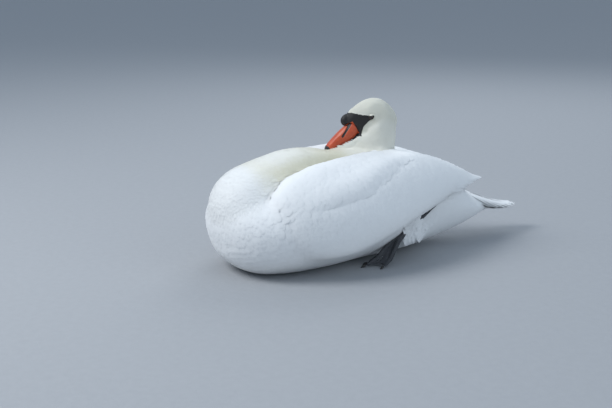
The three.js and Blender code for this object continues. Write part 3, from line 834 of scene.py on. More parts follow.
# Where, the length there and what is added by the end, the half width and what is added, and how far along.
FEATHER_SIZES = (
    (region >= 0, 26, 12, 8.0, 3.0, smoothstep(-150, 250, y_mm)),
    (is_neck, 19, -10, 4.6, -2.9, neck_share),
    (region == HEAD, 7.5, -3.8, 1.3, -0.5, smoothstep(-30, 25, ahead)),
    (is_scapular, 30, 30, 9, 8, behind),
    (is_wing, 26, 28, 8, 7, behind),
)
length, width = np.zeros(len(points)), np.zeros(len(points))
for where, at_first, longer, half, wider, share in FEATHER_SIZES:
    length[where] = (at_first + longer * share)[where]
    width[where] = (half + wider * share)[where]

# The wing's feathers grow longer towards its end, but none may reach past it.
inner_side = smoothstep(0.3, -0.2, skin_normals[:, 0] * np.sign(points[:, 0]))
to_wing_end = np.maximum(0.9 * (246 - 40 * inner_side - y_mm), 8)
length[is_wing] = np.minimum(length + 22 * smoothstep(90, 220, y_mm), to_wing_end)[is_wing]
length, width = spread(length, 6), spread(width, 6)
print("feathers", length.min().round(1), "to", length.max().round(1), "mm long")

# %% Tints
HEAD_TINT, STAIN_TINT = 0.9, 0.9
tint = np.zeros(len(points))
tint[is_neck] = 0.12 + 0.68 * smoothstep(0.02, 0.35, neck_share[is_neck])
tint[region == HEAD] = HEAD_TINT
tint = spread(tint, 12)
stained = is_neck * smoothstep(-324, -294, y_mm) * smoothstep(0.66, 0.5, neck_share)
stained = stained * smoothstep(250, 222, z_mm + 0.15 * np.abs(x_mm)) * (0.75 + 0.5 * patches)
tint = tint + spread(STAIN_TINT * stained, 5)
soil = smoothstep(75, 5, z_mm) * (0.55 + 0.45 * smoothstep(-150, -380, y_mm))
print("tint up to", tint.max().round(2), "and soil up to", soil.max().round(2))

# %% [markdown]
# ## Feather finish
# White feathers aren't flat white: each vane is a little lighter or darker than the next, its downy base is
# painted greyer than its tip as the shade under the vane before it, and fine barbs run out and forward from
# the shaft. Every vane stores how far along and across it a point is, so the barbs, the shaft and that
# painted shade follow each feather, which a pattern in plain coordinates couldn't do.

# %% Feather finish
# SHADE is a painted shade: it greys each vane's root, and the down on the skin takes it at random.
BRIGHT, WHITE, SHADE = (0.93, 0.93, 0.92), (0.89, 0.895, 0.89), (0.78, 0.79, 0.80)
CREAM, STAIN, SOIL = (0.80, 0.77, 0.63), (0.62, 0.58, 0.38), (0.52, 0.47, 0.38)
BARBS_ON_VANE, BARBS_ON_TUFT = 30, 6  # from root to tip


def plumage_tints(look, white, broad, fine):
    """Cream where the tint is near 1, a deeper stain where it is higher still, and soil in fine specks."""
    tint = look.number("tint")
    cream = look.mix(white, CREAM, tint * (0.62 + 0.5 * broad))
    stained = look.mix(cream, STAIN, (tint - 0.75) * (0.5 + 0.6 * broad))
    return look.mix(stained, SOIL, look.number("soil") * (0.10 + 0.45 * fine * broad))


def feather_look(name, barb_count, barb_height):
    look = Shader(name)
    along, across, own = look.number("along"), look.number("across"), look.number("own")
    broad = look.noise(9, 2)
    fine = look.noise(160, 3)
    # Painted shade: the root of each vane is mixed towards SHADE, as if the vane before it shaded it; own
    # adds a random tone per vane.
    white = look.mix(SHADE, WHITE, 0.55 + 0.40 * along.between(0.0, 0.6) + 0.12 * (own - 0.5))
    soiled = plumage_tints(look, white, broad, fine)
    colour = look.mix(soiled, BRIGHT, 0.20 * fine)
    barbs = ((along * barb_count + across.abs() * (barb_count * 0.35)) * (2 * math.pi)).sin()
    shaft = 1 - across.abs().between(0.0, 0.10)
    height = 0.5 * barbs + 1.4 * shaft + 0.8 * fine
    rough = 0.60 + 0.16 * fine
    return look.finish(Base_Color=colour, Roughness=rough, Normal=look.bump(height, barb_height),
                       Sheen_Weight=0.25, Sheen_Roughness=0.6, Specular_IOR_Level=0.25)


vane_white = feather_look("vane_white", BARBS_ON_VANE, 0.00006)
tuft_white = feather_look("tuft_white", BARBS_ON_TUFT, 0.00005)
print("finishes:", vane_white.name, tuft_white.name)

# %% [markdown]
# The skin has the feathers' tints where they grow, so that nothing dark shows between them. The lores and
# lids are leathery black, and at the bill's base the skin takes on the orange of the horn.

# %% Skin finish
BARE_BLACK, BARE_SHEEN = (0.012, 0.011, 0.011), (0.030, 0.028, 0.028)
ORANGE, RED_ORANGE, PALE_ORANGE = (0.60, 0.098, 0.030), (0.42, 0.050, 0.024), (0.70, 0.19, 0.09)


def skin_look():
    look = Shader("skin_and_down")
    broad, fine, pores = look.noise(9, 2), look.noise(160, 3), look.cells(900)
    down = look.mix(SHADE, WHITE, 0.45 + 0.5 * fine)
    soiled = plumage_tints(look, down, broad, fine)
    bare_part = look.number("bare")
    leathery = look.mix(BARE_BLACK, BARE_SHEEN, pores)
    colour = look.mix(soiled, leathery, bare_part.between(0.35, 0.65))
    colour = look.mix(colour, ORANGE, look.number("horn").between(0.4, 0.6))
    rough = 0.72 - 0.34 * bare_part + 0.12 * fine
    height = fine + pores * bare_part
    return look.finish(Base_Color=colour, Roughness=rough, Normal=look.bump(height, 0.00025),
                       Specular_IOR_Level=0.35)


skin_finish = skin_look()
print("finish:", skin_finish.name)

# %% [markdown]
# ## The skin as a piece
# The skin becomes a piece and is unwrapped. Each vane's own map is a tiny patch at its root's place on this
# unwrap, so that a picture baked for the coat keeps the colours of neighbouring feathers together.

# %% The skin piece
PATCH = 0.003
skin_faces = [[v.index for v in f.verts] for f in skin.faces]
skin_piece = add_piece("skin", skin.copy(), skin_finish, "white_feathers", *FLESH)
for fact, values in (("tint", tint), ("soil", soil), ("bare", bare), ("horn", on_horn)):
    set_number(skin_piece, fact, values)
skin_piece.data.uv_layers.new(name="OFBake")
bpy.context.view_layer.objects.active = skin_piece
skin_piece.select_set(True)
bpy.ops.object.mode_set(mode="EDIT")
bpy.ops.mesh.select_all(action="SELECT")
bpy.ops.uv.smart_project(angle_limit=math.radians(66), island_margin=0.002)
bpy.ops.object.mode_set(mode="OBJECT")

flat_map = np.zeros(len(skin_piece.data.loops) * 2)
skin_piece.data.uv_layers["OFBake"].uv.foreach_get("vector", flat_map)
first_corner = np.zeros(len(skin_piece.data.polygons), int)
skin_piece.data.polygons.foreach_get("loop_start", first_corner)
face_map = np.add.reduceat(flat_map.reshape(-1, 2), first_corner, axis=0)
corner_count = np.array([len(f) for f in skin_faces])
face_map /= corner_count[:, None]
print("skin unwrapped over", np.round(face_map.min(0), 2), "to", np.round(face_map.max(0), 2))

# %% [markdown]
# ## One vane
# A vane is a thin closed blade, narrow at its root, broad beyond its middle and rounded or pointed at the
# tip. It could be cut from a sheet, but a small ring drawn out station by station gives a closed shape
# with few faces, which matters when there are thousands. Length and width are 1 here, and set later.


# %% Vane shapes
class Vane:
    """A blade one long and one wide each side, kept as arrays so that it can be laid many times at once."""

    def __init__(self, stations, halves, sides=4, crown=0.35, droop=0.8):
        bm = bmesh.new()
        bmesh.ops.create_circle(bm, cap_ends=True, segments=sides, radius=halves[0])
        bmesh.ops.rotate(bm, verts=bm.verts, matrix=Matrix.Rotation(math.pi / 2, 3, "X"))
        cap = bm.faces[:]
        for i in range(1, len(stations)):
            drawn = bmesh.ops.extrude_face_region(bm, geom=cap)["geom"]
            verts = [g for g in drawn if isinstance(g, bmesh.types.BMVert)]
            if i > 1:
                bmesh.ops.delete(bm, geom=cap, context="FACES_ONLY")
            cap = [g for g in drawn if isinstance(g, bmesh.types.BMFace)]
            grown = halves[i] / halves[i - 1]
            bmesh.ops.scale(bm, verts=verts, vec=(grown, 1, grown))
            bmesh.ops.translate(bm, verts=verts, vec=(0, stations[i] - stations[i - 1], 0))
        bmesh.ops.remove_doubles(bm, verts=bm.verts, dist=0.03)
        bmesh.ops.recalc_face_normals(bm, faces=bm.faces)
        shape = points_of(bm)
        self.stations = np.array(stations, float)
        self.station = np.abs(shape[:, 1:2] - self.stations).argmin(1)
        self.across = shape[:, 0]
        half = np.maximum(np.array(halves)[self.station], 1e-3)
        self.lift = crown * shape[:, 2] - droop * (self.across / half) ** 2 * np.sqrt(half)
        self.corners = np.concatenate([[v.index for v in f.verts] for f in bm.faces])
        self.sizes = np.array([len(f.verts) for f in bm.faces])
        underside = [-1.0 if f.normal.z < -1e-3 else 1.0 for f in bm.faces]
        self.facing = np.repeat(underside, self.sizes)
        bm.free()
        print("vane with", len(self.across), "points and", (self.sizes - 2).sum(), "triangles")


tuft = Vane((0, 0.45, 1), (0.55, 1, 0.01), crown=0.25, droop=0.2)
lock = Vane((0, 0.35, 0.75, 1), (0.5, 1, 0.78, 0.01), crown=0.2, droop=0.3)
contour = Vane((0, 0.3, 0.58, 0.8, 0.94, 1), (0.35, 0.86, 1, 0.84, 0.42, 0.01), crown=0.22, droop=0.3)
broad = Vane((0, 0.25, 0.5, 0.7, 0.86, 0.96, 1), (0.35, 0.8, 0.98, 1, 0.78, 0.4, 0.01), sides=6, crown=0.25,
             droop=0.3)

# %% [markdown]
# ## Sowing the roots
# Roots are scattered over the skin at random, but never nearer than a spacing that follows the feathers'
# width, so the cover is even without rows that look printed. A root lies on a face of the skin and takes
# that face's values, so the fields of the points are first turned into fields of the faces.


# %% Fields of the faces
corners = np.array([f + [f[-1]] * (4 - len(f)) for f in skin_faces])
face_of_triangle = np.concatenate([np.arange(len(corners))] * 2)
triangles = np.concatenate([corners[:, [0, 1, 2]], corners[:, [0, 2, 3]]])
triangle_area = np.linalg.norm(np.cross(points[triangles[:, 1]] - points[triangles[:, 0]],
                                        points[triangles[:, 2]] - points[triangles[:, 0]]), axis=1) / 2


def on_faces(field):
    """A field of the points as a field of the faces."""
    return field[corners[:, :3]].mean(1)


# Feathers are pressed flat where the neck lies against the scapulars, and where the scapulars end on the
# wing and the wing on the breast. The product of two regions' shares is largest on the border between them.
share_neck, share_scapular, share_wing, share_body = (
    spread(part.astype(float), 8) for part in (is_neck, is_scapular, is_wing, region == 0))
from_shoulder = smoothstep(-275, -225, y_mm)
pressed_flat = np.clip(4 * share_neck * share_scapular, 0, 1)
pressed_flat += (0.15 + 0.35 * from_shoulder) * np.clip(4 * share_scapular * share_wing, 0, 1)
pressed_flat += 0.3 * (1 - from_shoulder) * np.clip(4 * share_wing * share_body, 0, 1)

face_lie, face_normal, face_middle = unit(on_faces(lie)), unit(on_faces(skin_normals)), on_faces(points)
face_length, face_width = on_faces(length), on_faces(width)
face_depth = on_faces(depth * (1 - 0.7 * np.minimum(pressed_flat, 1)))
face_tint, face_soil, face_bare = on_faces(tint), on_faces(soil), on_faces(bare)
face_region = region[corners[:, 0]]
print("faces to sow on:", len(face_region), "with", round(triangle_area.sum(), 3), "square metres")

# %% [markdown]
# Throwing a place at a time and testing it against all the others would take hours. A grid of boxes as wide
# as the widest spacing leaves only the places in the 27 boxes around to test.

# %% Sow roots
THIN_OUT = 1.0
TRIES_PER_ROOT = 5
BOXES_AROUND = [(i, j, k) for i in (-1, 0, 1) for j in (-1, 0, 1) for k in (-1, 0, 1)]


def sow(chosen, spacing_mm):
    """Random places on the chosen faces, each at least its spacing from the others."""
    spacing = spacing_mm * MM * THIN_OUT
    odds = triangle_area * chosen[face_of_triangle] / spacing[face_of_triangle] ** 2
    tries = int(odds.sum() * TRIES_PER_ROOT)
    picked = chance.choice(len(odds), tries, p=odds / odds.sum())
    a, b = chance.random((2, tries, 1))
    a, b = np.where(a + b > 1, 1 - a, a), np.where(a + b > 1, 1 - b, b)
    p0, p1, p2 = (points[triangles[picked, i]] for i in range(3))
    places = p0 + a * (p1 - p0) + b * (p2 - p0)
    faces = face_of_triangle[picked]
    widest = spacing[faces].max()
    boxes, kept = {}, []
    keys = np.floor(places / widest).astype(int)
    for n, (key, gap, (x, y, z)) in enumerate(zip(keys.tolist(), spacing[faces].tolist(), places.tolist())):
        least = gap * gap
        free = True
        for i, j, k in BOXES_AROUND:
            for ox, oy, oz in boxes.get((key[0] + i, key[1] + j, key[2] + k), ()):
                if (x - ox) ** 2 + (y - oy) ** 2 + (z - oz) ** 2 < least:
                    free = False
                    break
            if not free:
                break
        if free:
            boxes.setdefault(tuple(key), []).append((x, y, z))
            kept.append(n)
    return places[kept], faces[kept]


print("boxes to look in round each place:", len(BOXES_AROUND))

# %% [markdown]
# ## Laying the vanes
# A long vane on a round body would stick out like a board, so each is walked over the skin: a step along
# the lie, then back down to the nearest skin, station by station. Its edges are dropped to the skin too.
# The tip ends up highest, over the roots of the next vanes, as shingles lie.


# %% Walk over the skin
KEEP_NORMAL, FOLLOW_LIE = 0.3, 0.5  # shares taken over from the last station and from the skin's lie


def to_skin(places):
    """The nearest places on the skin, and the faces they are on."""
    hits = [skin_tree.find_nearest(Vector(p)) for p in places]
    return np.array([h[0] for h in hits]), np.array([h[2] for h in hits])


def walk(roots, faces, vane, lengths, turns):
    """Each vane's middle line over the skin: its places, ways, normals and faces at every station."""
    way = face_lie[faces]
    normal = face_normal[faces]
    sideways = np.cross(normal, way)
    way = unit(way * np.cos(turns)[:, None] + sideways * np.sin(turns)[:, None])
    places, ways, normals, trail = [roots], [way], [normal], [faces]
    for step in np.diff(vane.stations):
        here, faces = to_skin(places[-1] + way * (step * lengths * MM)[:, None])
        normal = unit(face_normal[faces] + KEEP_NORMAL * normals[-1])
        way = unit(way + FOLLOW_LIE * face_lie[faces])
        way = unit(way - normal * (way * normal).sum(1)[:, None])
        places.append(here)
        ways.append(way)
        normals.append(normal)
        trail.append(faces)
    return tuple(np.stack(part, 1) for part in (places, ways, normals, trail))


print("the breast's front is at", np.round(to_skin([(0, -0.5, 0.1)])[0][0], 3))

# %% [markdown]
# One mesh holds all the vanes of a part of the coat. Thousands of separate objects would be slow, so the
# template's points, corners and faces are repeated in arrays and handed over at once. A vane shaded by its
# own flat sides would glitter at every edge, so its normals are set one by one: they hold between the way
# that the body faces and the way that the vane does, and turn a little outwards at its edges and tip.


# %% One piece of vanes
SINK_LIMIT = 0.6 * MM  # no vane goes lower than this above the ground


def vane_piece(name, vane, middle, left, right, normal, lift, faces, look, relief=0.25,
               hold=0.8):
    """Builds one mesh of many vanes from their lines over the skin.

    Hold is how much of the body's own way of facing the shading keeps, and relief how much it rounds.
    """
    k, x = vane.station, vane.across
    count, size = len(middle), len(x)
    middle_k = middle[:, k]
    side = np.where((x > 0)[None, :, None], left[:, k] - middle_k, right[:, k] - middle_k)
    places = middle_k + side * np.abs(x)[None, :, None]
    places += normal[:, k] * ((lift[:, k] + vane.lift[None]) * MM)[..., None]
    places[..., 2] = np.maximum(places[..., 2], SINK_LIMIT)

    mesh = bpy.data.meshes.new(name)
    mesh.vertices.add(count * size)
    mesh.vertices.foreach_set("co", places.astype(np.float32).ravel())
    loops = (vane.corners[None] + (np.arange(count) * size)[:, None]).ravel()
    mesh.loops.add(len(loops))
    mesh.loops.foreach_set("vertex_index", loops.astype(np.int32))
    starts = np.concatenate(([0], np.cumsum(vane.sizes)[:-1]))
    starts = (starts[None] + (np.arange(count) * len(vane.corners))[:, None]).ravel()
    mesh.polygons.add(len(starts))
    mesh.polygons.foreach_set("loop_start", starts.astype(np.int32))
    mesh.update(calc_edges=True)
    mesh.shade_smooth()
    mesh.materials.append(look)

    half = np.maximum(np.abs(x).max(), 1e-3)
    across_way = unit(left - right)[:, k]
    along_way = unit(np.gradient(middle, axis=1))[:, k]
    over_tip = smoothstep(0.6, 1.0, vane.stations[k]) - 0.25
    plane = unit(np.cross(across_way, along_way))
    rounding = relief * (across_way * (x / half)[None, :, None] * 0.8 + along_way * over_tip[None, :, None])
    base = unit(hold * normal[:, k] + plane).reshape(-1, 3)[loops]
    shading = base * np.tile(vane.facing, count)[:, None] + rounding.reshape(-1, 3)[loops]
    if relief:
        mesh.normals_split_custom_set(unit(shading).astype(np.float32))
    else:
        mesh.set_sharp_from_angle(angle=math.radians(50))

    flat = np.stack([x, vane.stations[k] * 2 - 1], 1) * (PATCH / 2)
    patch = face_map[faces][:, None] + flat[None]
    baked = mesh.uv_layers.new(name="OFBake")
    baked.uv.foreach_set("vector", patch.reshape(-1, 2)[loops].astype(np.float32).ravel())
    piece = bpy.data.objects.new(name, mesh)
    bpy.context.scene.collection.objects.link(piece)
    for fact, values in (("along", np.tile(vane.stations[k], count)), ("across", np.tile(x / half, count)),
                         ("own", np.repeat(chance.random(count), size)),
                         ("tint", np.repeat(face_tint[faces], size)),
                         ("soil", np.repeat(face_soil[faces], size))):
        set_number(piece, fact, values)
    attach(piece, body_name)
    print(f"{name}: {count} vanes, {count * (vane.sizes - 2).sum()} triangles")
    return piece


print("a vane's patch on the map is", PATCH, "wide")

# %% [markdown]
# Covering a part of the skin is then sowing, walking and building. Each vane's length, turn and lift differ
# a little from its neighbours', since equal feathers look like scales.


# %% Cover a part
LENGTH_SPREAD, LIFT_SPREAD = 0.09, 0.03


def cover(name, chosen, vane, spacing, look, root_lift, tip_lift, fitted=True, ruffle=0.1,
          relief=0.25, keep_off=None, hold=0.8):
    """Sows and lays vanes over the chosen faces, and drops those that run onto faces to keep off."""
    roots, faces = sow(chosen, spacing)
    lengths = face_length[faces] * chance.normal(1, LENGTH_SPREAD, len(faces)).clip(0.75, 1.3)
    turns = chance.normal(0, ruffle, len(faces))
    middle, ways, normals, trail = walk(roots, faces, vane, lengths, turns)
    sides = np.cross(normals, ways) * (face_width[faces] * MM)[:, None, None]
    left, right = middle - sides, middle + sides
    if fitted:
        left = to_skin(left.reshape(-1, 3))[0].reshape(middle.shape)
        right = to_skin(right.reshape(-1, 3))[0].reshape(middle.shape)
    if keep_off is not None:
        kept = ~keep_off[trail].any(1)
        middle, left, right, normals, faces = (a[kept] for a in (middle, left, right, normals, faces))
    rise = root_lift + (tip_lift - root_lift) * vane.stations**1.2
    uneven = chance.normal(1, LIFT_SPREAD, (len(faces), 1)).clip(0.93, 1.07)
    lift = face_depth[faces][:, None] * rise[None] * uneven
    return vane_piece(name, vane, middle, left, right, normals, lift, faces, look, relief, hold)


print("vanes differ in length by", LENGTH_SPREAD, "and in lift by", LIFT_SPREAD, "of their own")

# %% [markdown]
# ## The coat, piece by piece
# The face and head carry the finest tufts, the neck longer ones, and the body broad rounded vanes. No vane
# grows where the skin is bare, or where another part of the bird lies on it.

# %% Where feathers grow
on_ground = (face_middle[:, 2] < 3.5 * MM) & (face_normal[:, 2] < -0.6)
grows = (face_bare < 0.5) & ~on_ground
is_head_face = face_region == HEAD
neck_face = (face_region >= 1) & (face_region <= 3)
wing_face = face_region >= FLESH.index("wing_left")
scapular_face = (face_region > TAIL) & ~wing_face
body_face = (face_region == 0) | (face_region == TAIL)
from_middle, from_front, from_ground = face_middle.T
print("feathers grow on", int(grows.sum()), "of", len(grows), "faces")

# %% Head and neck
cover("coat_head", grows & is_head_face, tuft, 0.4 + 0.62 * face_width, tuft_white,
      0.5, 0.92, fitted=False, ruffle=0.14)
for name, chosen in (("coat_neck_low", face_region == 1), ("coat_neck_high", neck_face & (face_region > 1))):
    cover(name, chosen & grows, lock, 0.5 + 0.46 * face_width, tuft_white, 0.62, 0.9,
          ruffle=0.12)

# %% Breast, flanks and rump
BREAST_END, FLANK_END, RUMP_END = -0.21, 0.06, 0.365
for name, chosen in (("coat_breast", from_front < BREAST_END),
                     ("coat_flanks", (from_front >= BREAST_END) & (from_front < FLANK_END)),
                     ("coat_rump", (from_front >= FLANK_END) & (from_front < RUMP_END))):
    cover(name, body_face & chosen & grows, contour, 0.62 * face_width, vane_white,
          0.74, 0.90, ruffle=0.08, relief=0.10, hold=1.6)

# %% [markdown]
# The neck and the head lie on the scapulars. Broad feathers that run onto them would poke through, so they
# are dropped, except at the open corner where the neck leaves the breast. The wing's end stays bare, more of
# it on its inner side, because the long feathers of the next cell cover it.

# %% Scapulars and wings
OPEN_CORNER, NAPE_HEIGHT = -0.288, 0.238
BARE_INSIDE, BARE_OUTSIDE = 0.172, 0.234
by_neck = on_faces(spread(is_neck.astype(float), 3)) > 0.4
open_corner = from_front < OPEN_CORNER
by_nape_face = ((np.abs(from_middle) < 0.075) & (from_front > -0.07) & (from_front < 0.02)
                & (from_ground > NAPE_HEIGHT))
keep_off = (neck_face | is_head_face) & ~open_corner | by_nape_face
cover("coat_scapulars", scapular_face & (~by_neck | open_corner), broad, 0.62 * face_width, vane_white,
      0.70, 0.92, ruffle=0.06, relief=0.15, keep_off=keep_off, hold=1.3)
faces_in = face_normal[:, 0] * np.sign(from_middle) < 0.1
feathered = wing_face & (from_front < np.where(faces_in, BARE_INSIDE, BARE_OUTSIDE))
for name, chosen in (("coat_wing_left", from_middle > 0), ("coat_wing_right", from_middle <= 0)):
    cover(name, feathered & chosen, broad, 0.60 * face_width, vane_white, 0.64, 0.92,
          ruffle=0.05, relief=0.17, hold=1.3)

# %% [markdown]
# ## Tail and flight feathers
# The long feathers of the tail and the wing tips are few and stand clear of the skin, so each gets its own
# middle line: tail feathers fan out so that their tips make the wedge, and the folded flight feathers lie
# in a stack that narrows to the wing tip. They are the same kind of blade, longer and with more stations.

# %% Free feathers
long_vane = Vane((0, 0.2, 0.4, 0.6, 0.76, 0.88, 0.96, 1), (0.45, 0.75, 0.95, 1, 0.92, 0.68, 0.36, 0.02),
                 sides=8, crown=0.45, droop=0.9)


def line_through(spots, vane):
    """The vane's stations on a line through a few spots, given in mm."""
    spots = np.array(spots, float)
    run = np.concatenate(([0], np.cumsum(np.linalg.norm(np.diff(spots, axis=0), axis=1))))
    share = vane.stations * run[-1]
    return np.stack([np.interp(share, run, spots[:, i]) for i in range(3)], 1)


def free_feathers(name, vane, lines, outwards, halves, look, relief=0.25):
    """One piece of feathers off the skin: a line, an outward way and a half width in mm for each."""
    middle = np.array([line_through(line, vane) for line in lines]) * MM
    way = unit(np.gradient(middle, axis=1))
    outward = np.array(outwards, float)
    outward = unit(outward if outward.ndim == 3 else outward[:, None, :])
    normal = unit(outward - way * (way * outward).sum(-1, keepdims=True))
    side = np.cross(normal, way) * (np.array(halves) * MM)[:, None, None]
    lift = np.zeros(middle.shape[:2])
    faces = to_skin(middle[:, 0])[1]
    return vane_piece(name, vane, middle, middle - side, middle + side, normal, lift, faces, look,
                      relief)


# %% [markdown]
# The tail is a low wedge. Its feathers start under the rump's coat and reach their tips in even steps from
# the middle to the sides, in four layers between the tail's top and its underside.

# %% Tail
# The tail's outline in mm: how far back, the half width there, and the heights of its top and underside.
TAIL_SHAPE = np.array([(197, 0, 104, 104), (219, 40, 122, 86), (255, 49, 107, 74), (291, 48, 92, 67),
                       (329, 41, 79, 62), (366, 28, 70, 59), (391, 14, 65, 58), (402, 0, 61, 61)])
TAIL_TIPS = [(3, 399), (10, 393), (19, 380), (27, 364), (35, 343), (41, 318), (45, 292)]
TAIL_ROOT = 222


def tail_line(tip_x, tip_y, height):
    """A tail feather from the rump to its tip; height is 1 on the tail's top and -1 on its underside."""
    spots = []
    for y in np.linspace(TAIL_ROOT, tip_y, 6):
        x = tip_x * (0.3 + 0.7 * (y - TAIL_ROOT) / (tip_y - TAIL_ROOT))
        half, top, bottom = (np.interp(y, TAIL_SHAPE[:, 0], TAIL_SHAPE[:, i]) for i in (1, 2, 3))
        across = min(1, abs(x) / max(half, 1))
        droop = 0.16 * half * across**2
        inset = 1.0 + 0.28 * abs(tip_x) / 10
        round_off = math.sqrt(1 - 0.88 * across**2)
        edge = (top + bottom) / 2 + height * max((top - bottom) / 2 * round_off - inset, 0.6)
        spots.append((x, y, edge - droop))
    return spots


tail_lines, tail_ways, tail_halves = [], [], []
for side in (1, -1):
    for tip_x, tip_y in reversed(TAIL_TIPS):
        for height in (1, 0.3, -0.35, -1):
            tail_lines.append(tail_line(side * tip_x, tip_y - 3 * (1 - height), height))
            tail_ways.append((side * 0.1, 0.1, math.copysign(1, height)))
            tail_halves.append(13.5 - 0.08 * tip_x)
free_feathers("tail_feathers", long_vane, tail_lines, tail_ways, tail_halves, vane_white, relief=0)

# %% [markdown]
# The folded wing ends in two layers. A tight stack of long flight feathers makes the point, and broad
# feathers from the wing's outer side lie over its root and hide the wing's blunt end. Each line is drawn
# straight from root to tip, and wherever it would pass through the body it is lifted back out over it.

# %% Feathers of the wing's point
POINT_FEATHERS, POINT_LEAN, POINT_SLIP, POINT_HALF = 5, math.radians(48), 3.0, 10
# The stack's middle line in mm: how far back, out and up.
POINT_LINE = [(110, 52, 150), (150, 46, 150), (190, 38, 149), (225, 31, 147), (253, 27, 145), (277, 24, 142)]


def point_feathers(side):
    """The stack of flight feathers that makes the point: their lines and the way they face."""
    lines = []
    for i in range(POINT_FEATHERS):
        slip = (2 - i) * POINT_SLIP
        spots = []
        for (y, x, z), room in zip(POINT_LINE, np.linspace(1, 0.08, len(POINT_LINE))):
            out = x - slip * room * math.sin(POINT_LEAN) + 0.9 * i
            high = z + slip * room * math.cos(POINT_LEAN)
            spots.append((side * out, y - 6 * abs(i - 1) * (1 - room), high))
        lines.append(spots)
    return lines, [(side * math.cos(POINT_LEAN), 0.05, math.sin(POINT_LEAN))] * POINT_FEATHERS


print("the wings' points reach", POINT_LINE[-1][0], "mm back")


# %% Feathers over the wing's end
END_FEATHERS, END_ROOT, END_TIP = 14, 112, 266
END_STANDS = np.interp(long_vane.stations, (0, 0.3, 0.6, 1), (0.5, 4.5, 5.8, 3.0))  # mm over the skin


def over_skin(spots, lift):
    """Lifts places that lie in or close to the skin to a height in mm above it."""
    here, faces = to_skin(spots)
    height = ((spots - here) * face_normal[faces]).sum(1) / MM
    return spots + face_normal[faces] * (np.maximum(lift - height, 0) * MM)[:, None], face_normal[faces]


def end_feathers(side):
    """The feathers fanned round the wing's blunt end: their lines, ways and half widths."""
    lines, ways, halves = [], [], []
    shares = long_vane.stations[:, None]
    for i in range(END_FEATHERS):
        step = i / (END_FEATHERS - 1)
        around = math.radians(-40 + 165 * step)
        root_y = END_ROOT + 30 * abs(step - 0.5)
        centre = [np.interp(root_y, WING_LINE[:, 1] / MM, WING_LINE[:, n]) for n in range(3)]
        way = Vector((side * math.cos(around), 0, math.sin(around)))
        root = np.array(skin_tree.ray_cast(Vector((side * centre[0], centre[1], centre[2])), way)[0])
        tip_y = END_TIP - 66 * max(0.5 - step, 0) - 36 * max(step - 0.5, 0)
        tip = np.array((side * (25 + 6 * math.cos(around)), tip_y, 141 + 5 * math.sin(around)))
        spots = root * (1 - shares) + tip * MM * shares
        for turn in range(3):
            spots, facing = over_skin(spots, END_STANDS)
        outward = facing + (0.2 + 2 * smoothstep(0.55, 1, shares)) * np.array((side * 0.75, 0, 0.65))
        lines.append(spots / MM)
        ways.append(unit(outward))
        halves.append(12.5 - 5.5 * smoothstep(0.55, 0.8, step))
    return lines, ways, halves


for side_name, side in EYES.items():
    free_feathers(f"wing_point_{side_name}", long_vane, *point_feathers(side), [POINT_HALF] * POINT_FEATHERS,
                  vane_white, relief=0)
    free_feathers(f"wing_end_{side_name}", long_vane, *end_feathers(side), vane_white, relief=0)
for name in ("flight_feathers_left", "flight_feathers_right"):
    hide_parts(name)

# %% [markdown]
# ## Loose flank feathers
# The shank is drawn up under the wing, and the soft feathers of the flank hang over it and over the hind
# toe. They spring from the flank above the shank, bulge over it and close against the flank below it.

# %% Feathers over the shank
SHANK_LAYERS, SHANK_ROW, FLANK_HALF = 7, 28, 7.5
# The five spots of a feather: how far in from the bulge and back in mm, and the share of its drop.
HANGING = ((7, -3, 0), (0, 0, 0.25), (1, 3, 0.5), (4, 7, 0.75), (9, 12, 1))
HANG_STANDS = np.array((3, 6, 6, 5.5, 5))  # how high each spot stands over the skin at least, in mm
for side_name, side in EYES.items():
    lines = []
    for layer in range(SHANK_LAYERS):
        for place in range(SHANK_ROW):
            y = 4 + 3.6 * place + 1.8 * (layer % 2) + chance.normal(0, 0.6)
            under_wing = 110 - 9 * layer + 0.5 * (y - 6)
            under_shank = min(under_wing, 87 - 6 * layer + 0.6 * (y - 43))
            top = under_wing + smoothstep(33, 42, y) * (under_shank - under_wing) + chance.normal(0, 1.5)
            drop = min(30 - 6 * smoothstep(34, 44, y), top - 33 - 7 * smoothstep(28, 40, y))
            drop += chance.normal(0, 1.5)
            bulge = 110.5 + 0.2 * layer - 0.50 * max(y - 38, 0) + chance.normal(0, 0.3)
            spots = np.array([(bulge - inner, y + back, top - share * drop)
                              for inner, back, share in HANGING]) * (side, 1, 1) * MM
            here, faces = to_skin(spots)
            stands = np.linalg.norm(spots - here, axis=1) / MM
            most = np.interp(y, (10, 36, 60, 100), (36, 22, 12, 5.5)) * np.array((1, 1, 0.8, 0.6, 0.4))
            spots = here + (spots - here) * np.minimum(1, most / np.maximum(stands, 1))[:, None]
            lines.append(over_skin(spots, HANG_STANDS)[0] / MM)
    free_feathers(f"flank_over_shank_{side_name}", contour, lines, [(side, 0.1, 0.1)] * len(lines),
                  [FLANK_HALF] * len(lines), vane_white)

# %% [markdown]
# ## Bill
# The bill is smooth orange horn with a black hooked nail at the tip, black cutting edges and a black slit
# round each nostril. Its solids are facets, so they are remeshed finely and smoothed, and the nail, the
# nostrils and the groove behind the nail are pressed into the surface. The colours are rules in mm along
# the head's axes, stored per point, so their edges stay sharp from any side.

# %% Bill shape
BILL_VOXEL = 0.9 * MM
NOSTRIL = ((47, 9.5), (73.5, -2.4))  # the slit's ends, ahead and up of the eyes
NAIL_FROM = 112
BEND_DOWN, BEND_LEFT, BEND_AHEAD = 4.2, 2.6, 1.5  # mm at 50 mm from where the bend starts
EDGE_LINE = (40, 62, 84, 104, 121), (-16.5, -16.8, -13.8, -10.2, -8.5)  # the upper half's cutting edge


